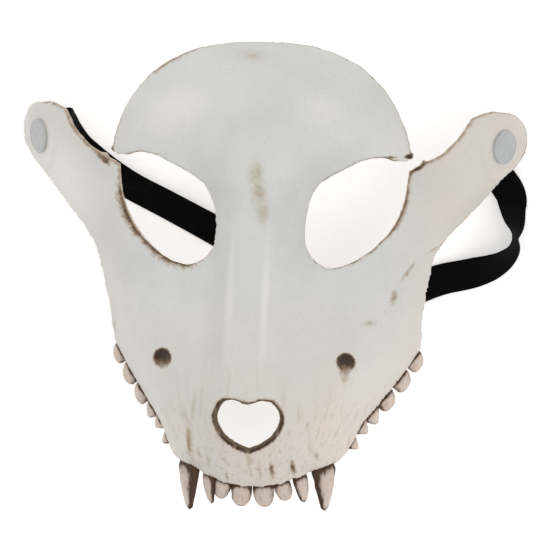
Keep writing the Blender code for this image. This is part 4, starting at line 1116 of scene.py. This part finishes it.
# %% Black woven polyester elastic
WAVE = 2 * pi / 20  # a wave texture at scale 1 repeats after this distance
elastic, tree, shader, place = new_paint(
    "woven_polyester_elastic", {"IOR": 1.5, "Specular IOR Level": 0.08, "Metallic": 0})
flat = add_node(tree, "ShaderNodeUVMap", {"uv_map": "flat"})
weft = add_node(tree, "ShaderNodeTexWave", {
    "bands_direction": "X", "Scale": WAVE / 0.0011, "Distortion": 0.6, "Detail": 1}, {"Vector": flat})
warp = add_node(tree, "ShaderNodeTexWave", {
    "bands_direction": "Y", "Scale": WAVE / 0.0008, "Distortion": 0.3}, {"Vector": flat})
weave = add_node(tree, "ShaderNodeMath", {"operation": "MULTIPLY"},
                 {0: weft.outputs["Fac"], 1: warp.outputs["Fac"]})
yarn = add_node(tree, "ShaderNodeValToRGB", {"ramp": ((0, "030303"), (1, "0A0A0A"))}, {"Fac": weave})
dry = add_node(tree, "ShaderNodeMapRange", {"To Min": 0.72, "To Max": 0.88}, {"Value": weave})
threads = add_node(tree, "ShaderNodeBump", {"Strength": 0.5, "Distance": 0.0002}, {"Height": weave})
tree.links.new(yarn.outputs["Color"], shader.inputs["Base Color"])
tree.links.new(dry.outputs["Result"], shader.inputs["Roughness"])
tree.links.new(threads.outputs["Normal"], shader.inputs["Normal"])
print("Weft every 1.1 mm, drawn coarser than the real 0.5 mm")

# %% [markdown]
# The strap lies where the CAD model laid it: flat under each arm, then down to the table and
# across it in one loose curve, with its free bend beside the right arm.

# %% The strap's route
Lay = namedtuple("Lay", "across up lift width")
STRAP_ROUTE = (
    Lay(-0.821, 0.622, 0.247, (-0.12, 0.97, -0.15)),
    Lay(-0.800, 0.636, 0.240, (0.05, 0.98, 0.05)),
    Lay(-0.789, 0.622, 0.165, (0.10, 0.92, -0.25)),
    Lay(-0.783, 0.578, 0.075, (0.35, 0.78, -0.45)),
    Lay(-0.766, 0.530, 0.018, (0.58, 0.72, -0.32)),
    Lay(-0.727, 0.489, 0, (0.58, 0.78, 0)),
    Lay(-0.672, 0.448, 0, (0.50, 0.80, 0.25)),
    Lay(-0.587, 0.390, 0, (0.46, 0.80, 0.38)),
    Lay(-0.406, 0.290, 0, (0.45, 0.81, 0.38)),
    Lay(-0.230, 0.192, 0, (0.46, 0.83, 0.30)),
    Lay(-0.046, 0.085, 0, (0.45, 0.87, 0.15)),
    Lay(0.140, -0.025, 0, (0.40, 0.90, 0.04)),
    Lay(0.269, -0.076, 0, (0.25, 0.96, 0)),
    Lay(0.405, -0.093, 0, (0, 1, 0)),
    Lay(0.539, -0.055, 0, (-0.25, 0.97, 0)),
    Lay(0.665, 0.000, 0, (-0.30, 0.95, 0.12)),
    Lay(0.808, 0.039, 0, (-0.26, 0.90, 0.34)),
    Lay(0.876, 0.067, 0, (-0.34, 0.71, 0.62)),
    Lay(0.926, 0.103, 0, (-0.37, 0.43, 0.82)),
    Lay(0.953, 0.140, 0, (-0.31, 0.20, 0.93)),
    Lay(0.962, 0.190, 0, (-0.12, 0.02, 0.99)),
    Lay(0.956, 0.258, 0, (-0.58, -0.06, 0.81)),
    Lay(0.946, 0.318, 0, (-0.74, -0.23, 0.63)),
    Lay(0.935, 0.381, 0.004, (-0.87, -0.38, 0.30)),
    Lay(0.915, 0.419, 0.022, (-0.84, -0.45, 0.25)),
    Lay(0.889, 0.455, 0.037, (-0.84, -0.42, 0.25)),
    Lay(0.871, 0.487, 0.048, (-0.75, -0.42, 0.40)),
    Lay(0.867, 0.510, 0.064, (-0.55, -0.45, 0.68)),
)
LEFT_STRAP_TURN = 15
RIGHT_STRAP_TURN = 30
STRAP_LEFT_FLAT = (-1, -0.33, 0.33, 0.80, 0.95)
STRAP_RIGHT_FLAT = (-0.84, -0.74, 0.33, 1)


def strap_stops(lift):
    """Places and width directions that the strap runs through, from the left end to the right."""
    depth_in = WALL + GAP + STRAP_THICKNESS / 2
    ends = []
    for side in (-1, 1):
        centre, normal, up_arm, along = rivet_frame(side)
        centre = centre + (0, 0, lift) - normal * depth_in
        if side < 0:
            turn = radians(LEFT_STRAP_TURN)
            heading = cos(turn) * up_arm + sin(turn) * along
        else:
            turn = radians(RIGHT_STRAP_TURN)
            heading = cos(turn) * along + sin(turn) * up_arm
        width = np.cross(normal, heading)
        shares = STRAP_LEFT_FLAT if side < 0 else STRAP_RIGHT_FLAT
        ends.append(([centre + heading * STRAP_TAIL * d for d in shares], [width] * len(shares)))
    (left, left_width), (right, right_width) = ends
    middle, widths = [], []
    for lay in STRAP_ROUTE:
        width = np.array(lay.width) / np.linalg.norm(lay.width)
        stand = STRAP_WIDTH / 2 * abs(width[2]) + STRAP_THICKNESS / 2
        middle.append(np.array((lay.across * HALF_WIDTH, lay.up * HALF_HEIGHT, lay.lift * DEPTH + stand)))
        widths.append(width)
    return np.array(left + middle + right), np.array(left_width + widths + right_width)


stops, widths = strap_stops(LIFT)
knots = np.concatenate([[0], np.cumsum(np.linalg.norm(np.diff(stops, axis=0), axis=1))])
STRAP_LENGTH = float(knots[-1])
print("The strap is", round(1000 * STRAP_LENGTH), "mm long")

# %% Lay the elastic
RIBS = 9
RIB_HEIGHT = 0.00011
LENGTHWISE = 0.0012
ACROSS_POINTS = 46


def read_route(columns, at):
    """Smooth values along the route, at some lengths from its left end."""
    rows = np.broadcast_to(knots, (len(at), len(knots)))
    return np.column_stack([curve_at(rows, np.broadcast_to(c, rows.shape), at) for c in columns.T])


lengths = np.linspace(0, STRAP_LENGTH, ceil(STRAP_LENGTH / LENGTHWISE) + 1)
heading = read_route(stops, lengths + 1e-5) - read_route(stops, lengths - 1e-5)
heading /= np.linalg.norm(heading, axis=1)[:, None]
width = read_route(widths, lengths)
width -= heading * np.einsum("ij,ij->i", heading, width)[:, None]
width /= np.linalg.norm(width, axis=1)[:, None]
facing = np.cross(heading, width)
line = read_route(stops, lengths)
lowest = STRAP_WIDTH / 2 * np.abs(width[:, 2]) + STRAP_THICKNESS / 2 * np.abs(facing[:, 2])
line[:, 2] = np.maximum(line[:, 2], lowest)
even = np.linspace(-1, 1, ACROSS_POINTS)
shares = np.sin(even * pi / 2) * 0.35 + even * 0.65
ribbed = RIB_HEIGHT * (1 - np.cos(pi * RIBS * (shares + 1)))
half_thick = (STRAP_THICKNESS / 2 - ribbed) * np.sqrt(np.clip(1 - np.abs(shares) ** 10, 0.02, 1))
middle = line[:, None] + width[:, None] * (shares * STRAP_WIDTH / 2)[None, :, None]
offset = facing[:, None] * half_thick[None, :, None]
sheets = np.concatenate([(middle + offset).reshape(-1, 3), (middle - offset).reshape(-1, 3)])
rows, columns = len(lengths), ACROSS_POINTS
index = np.arange(rows * columns).reshape(rows, columns)
quads = np.stack([index[:-1, :-1], index[1:, :-1], index[1:, 1:], index[:-1, 1:]], axis=-1).reshape(-1, 4)
border = np.concatenate([index[:-1, 0], index[-1, :-1], index[:0:-1, -1], index[0, :0:-1]])
after = np.roll(border, -1)
below = rows * columns
rim = np.column_stack([after, border, border + below, after + below])
net = np.concatenate([quads, quads[:, ::-1] + below, rim])
flat_map = np.column_stack([np.repeat(lengths, columns), np.tile(shares * STRAP_WIDTH / 2, rows)])
strap = add_piece("woven_strap", sheets, net, elastic, flat_map=np.concatenate([flat_map, flat_map]))
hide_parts("elastic_strap")
print(RIBS, "ribs across", 1000 * STRAP_WIDTH, "mm")

# %% [markdown]
# ## Floor and light
# The photograph has a white ground and almost no shadow, as on a lit table under a light tent. A
# pale floor that glows a little, an even white world and two large soft lamps give that.

# %% Floor
ground = bpy.data.meshes.new("pale_floor")
ground.from_pydata([(-4, -4, 0), (4, -4, 0), (4, 4, 0), (-4, 4, 0)], [], [(0, 1, 2, 3)])
floor_paint = new_paint("matt_white_card", {
    "Base Color": linear("F4F4F4"), "Roughness": 0.9, "Emission Color": linear("FFFFFF"),
    "Emission Strength": 0.40})[0]
ground.materials.append(floor_paint)
floor = bpy.data.objects.new("pale_floor", ground)
floor.location.z = -0.0003
bpy.context.scene.collection.objects.link(floor)
print("The floor is 8 m wide")

# %% Soft light
world = bpy.data.worlds.new("light_tent")
world.use_nodes = True
world.node_tree.nodes["Background"].inputs["Color"].default_value = (1, 1, 1, 1)
world.node_tree.nodes["Background"].inputs["Strength"].default_value = 0.54
bpy.context.scene.world = world
for name, place, size, power in (
    ("key_lamp", (-0.80, 0.90, 1.30), 1.3, 7.4), ("fill_lamp", (0.9, -0.5, 1.4), 1.4, 8.4),
):
    lamp = bpy.data.lights.new(name, "AREA")
    lamp.size = size
    lamp.energy = power
    holder = bpy.data.objects.new(name, lamp)
    holder.location = place
    holder.rotation_euler = (Vector((0, 0, 0.05)) - Vector(place)).to_track_quat("-Z", "Y").to_euler()
    bpy.context.scene.collection.objects.link(holder)
bpy.context.scene.view_settings.view_transform = "Standard"
print("World and two lamps")

# %% [markdown]
# ## Camera
# The photograph looks straight down on the mask through a long lens, a few degrees from its right,
# and slightly turned. One pixel of it is about half a millimetre of the mask.

# %% Camera at the photograph's angle
YAW, ROLL = radians(6), radians(1.6)
DISTANCE = 3.0
PIXEL = 0.000505
across = Vector((cos(YAW), 0, -sin(YAW)))
back_up = Vector((sin(YAW), 0, cos(YAW)))
upright = Vector((0, 1, 0))
image_right = across * cos(ROLL) + upright * sin(ROLL)
image_up = upright * cos(ROLL) - across * sin(ROLL)
aim = across * 0.0022 + back_up * 0.050
turned = Matrix((image_right, image_up, back_up)).transposed().to_4x4()
lens = bpy.data.cameras.new("photo_camera")
lens.sensor_width = 36
lens.lens = 36 * DISTANCE / (551 * PIXEL)
lens.clip_end = 20
camera = bpy.data.objects.new("photo_camera", lens)
camera.matrix_world = Matrix.Translation(aim + back_up * DISTANCE) @ turned
bpy.context.scene.collection.objects.link(camera)
bpy.context.scene.camera = camera
print("Lens:", round(lens.lens), "mm at", DISTANCE, "m")
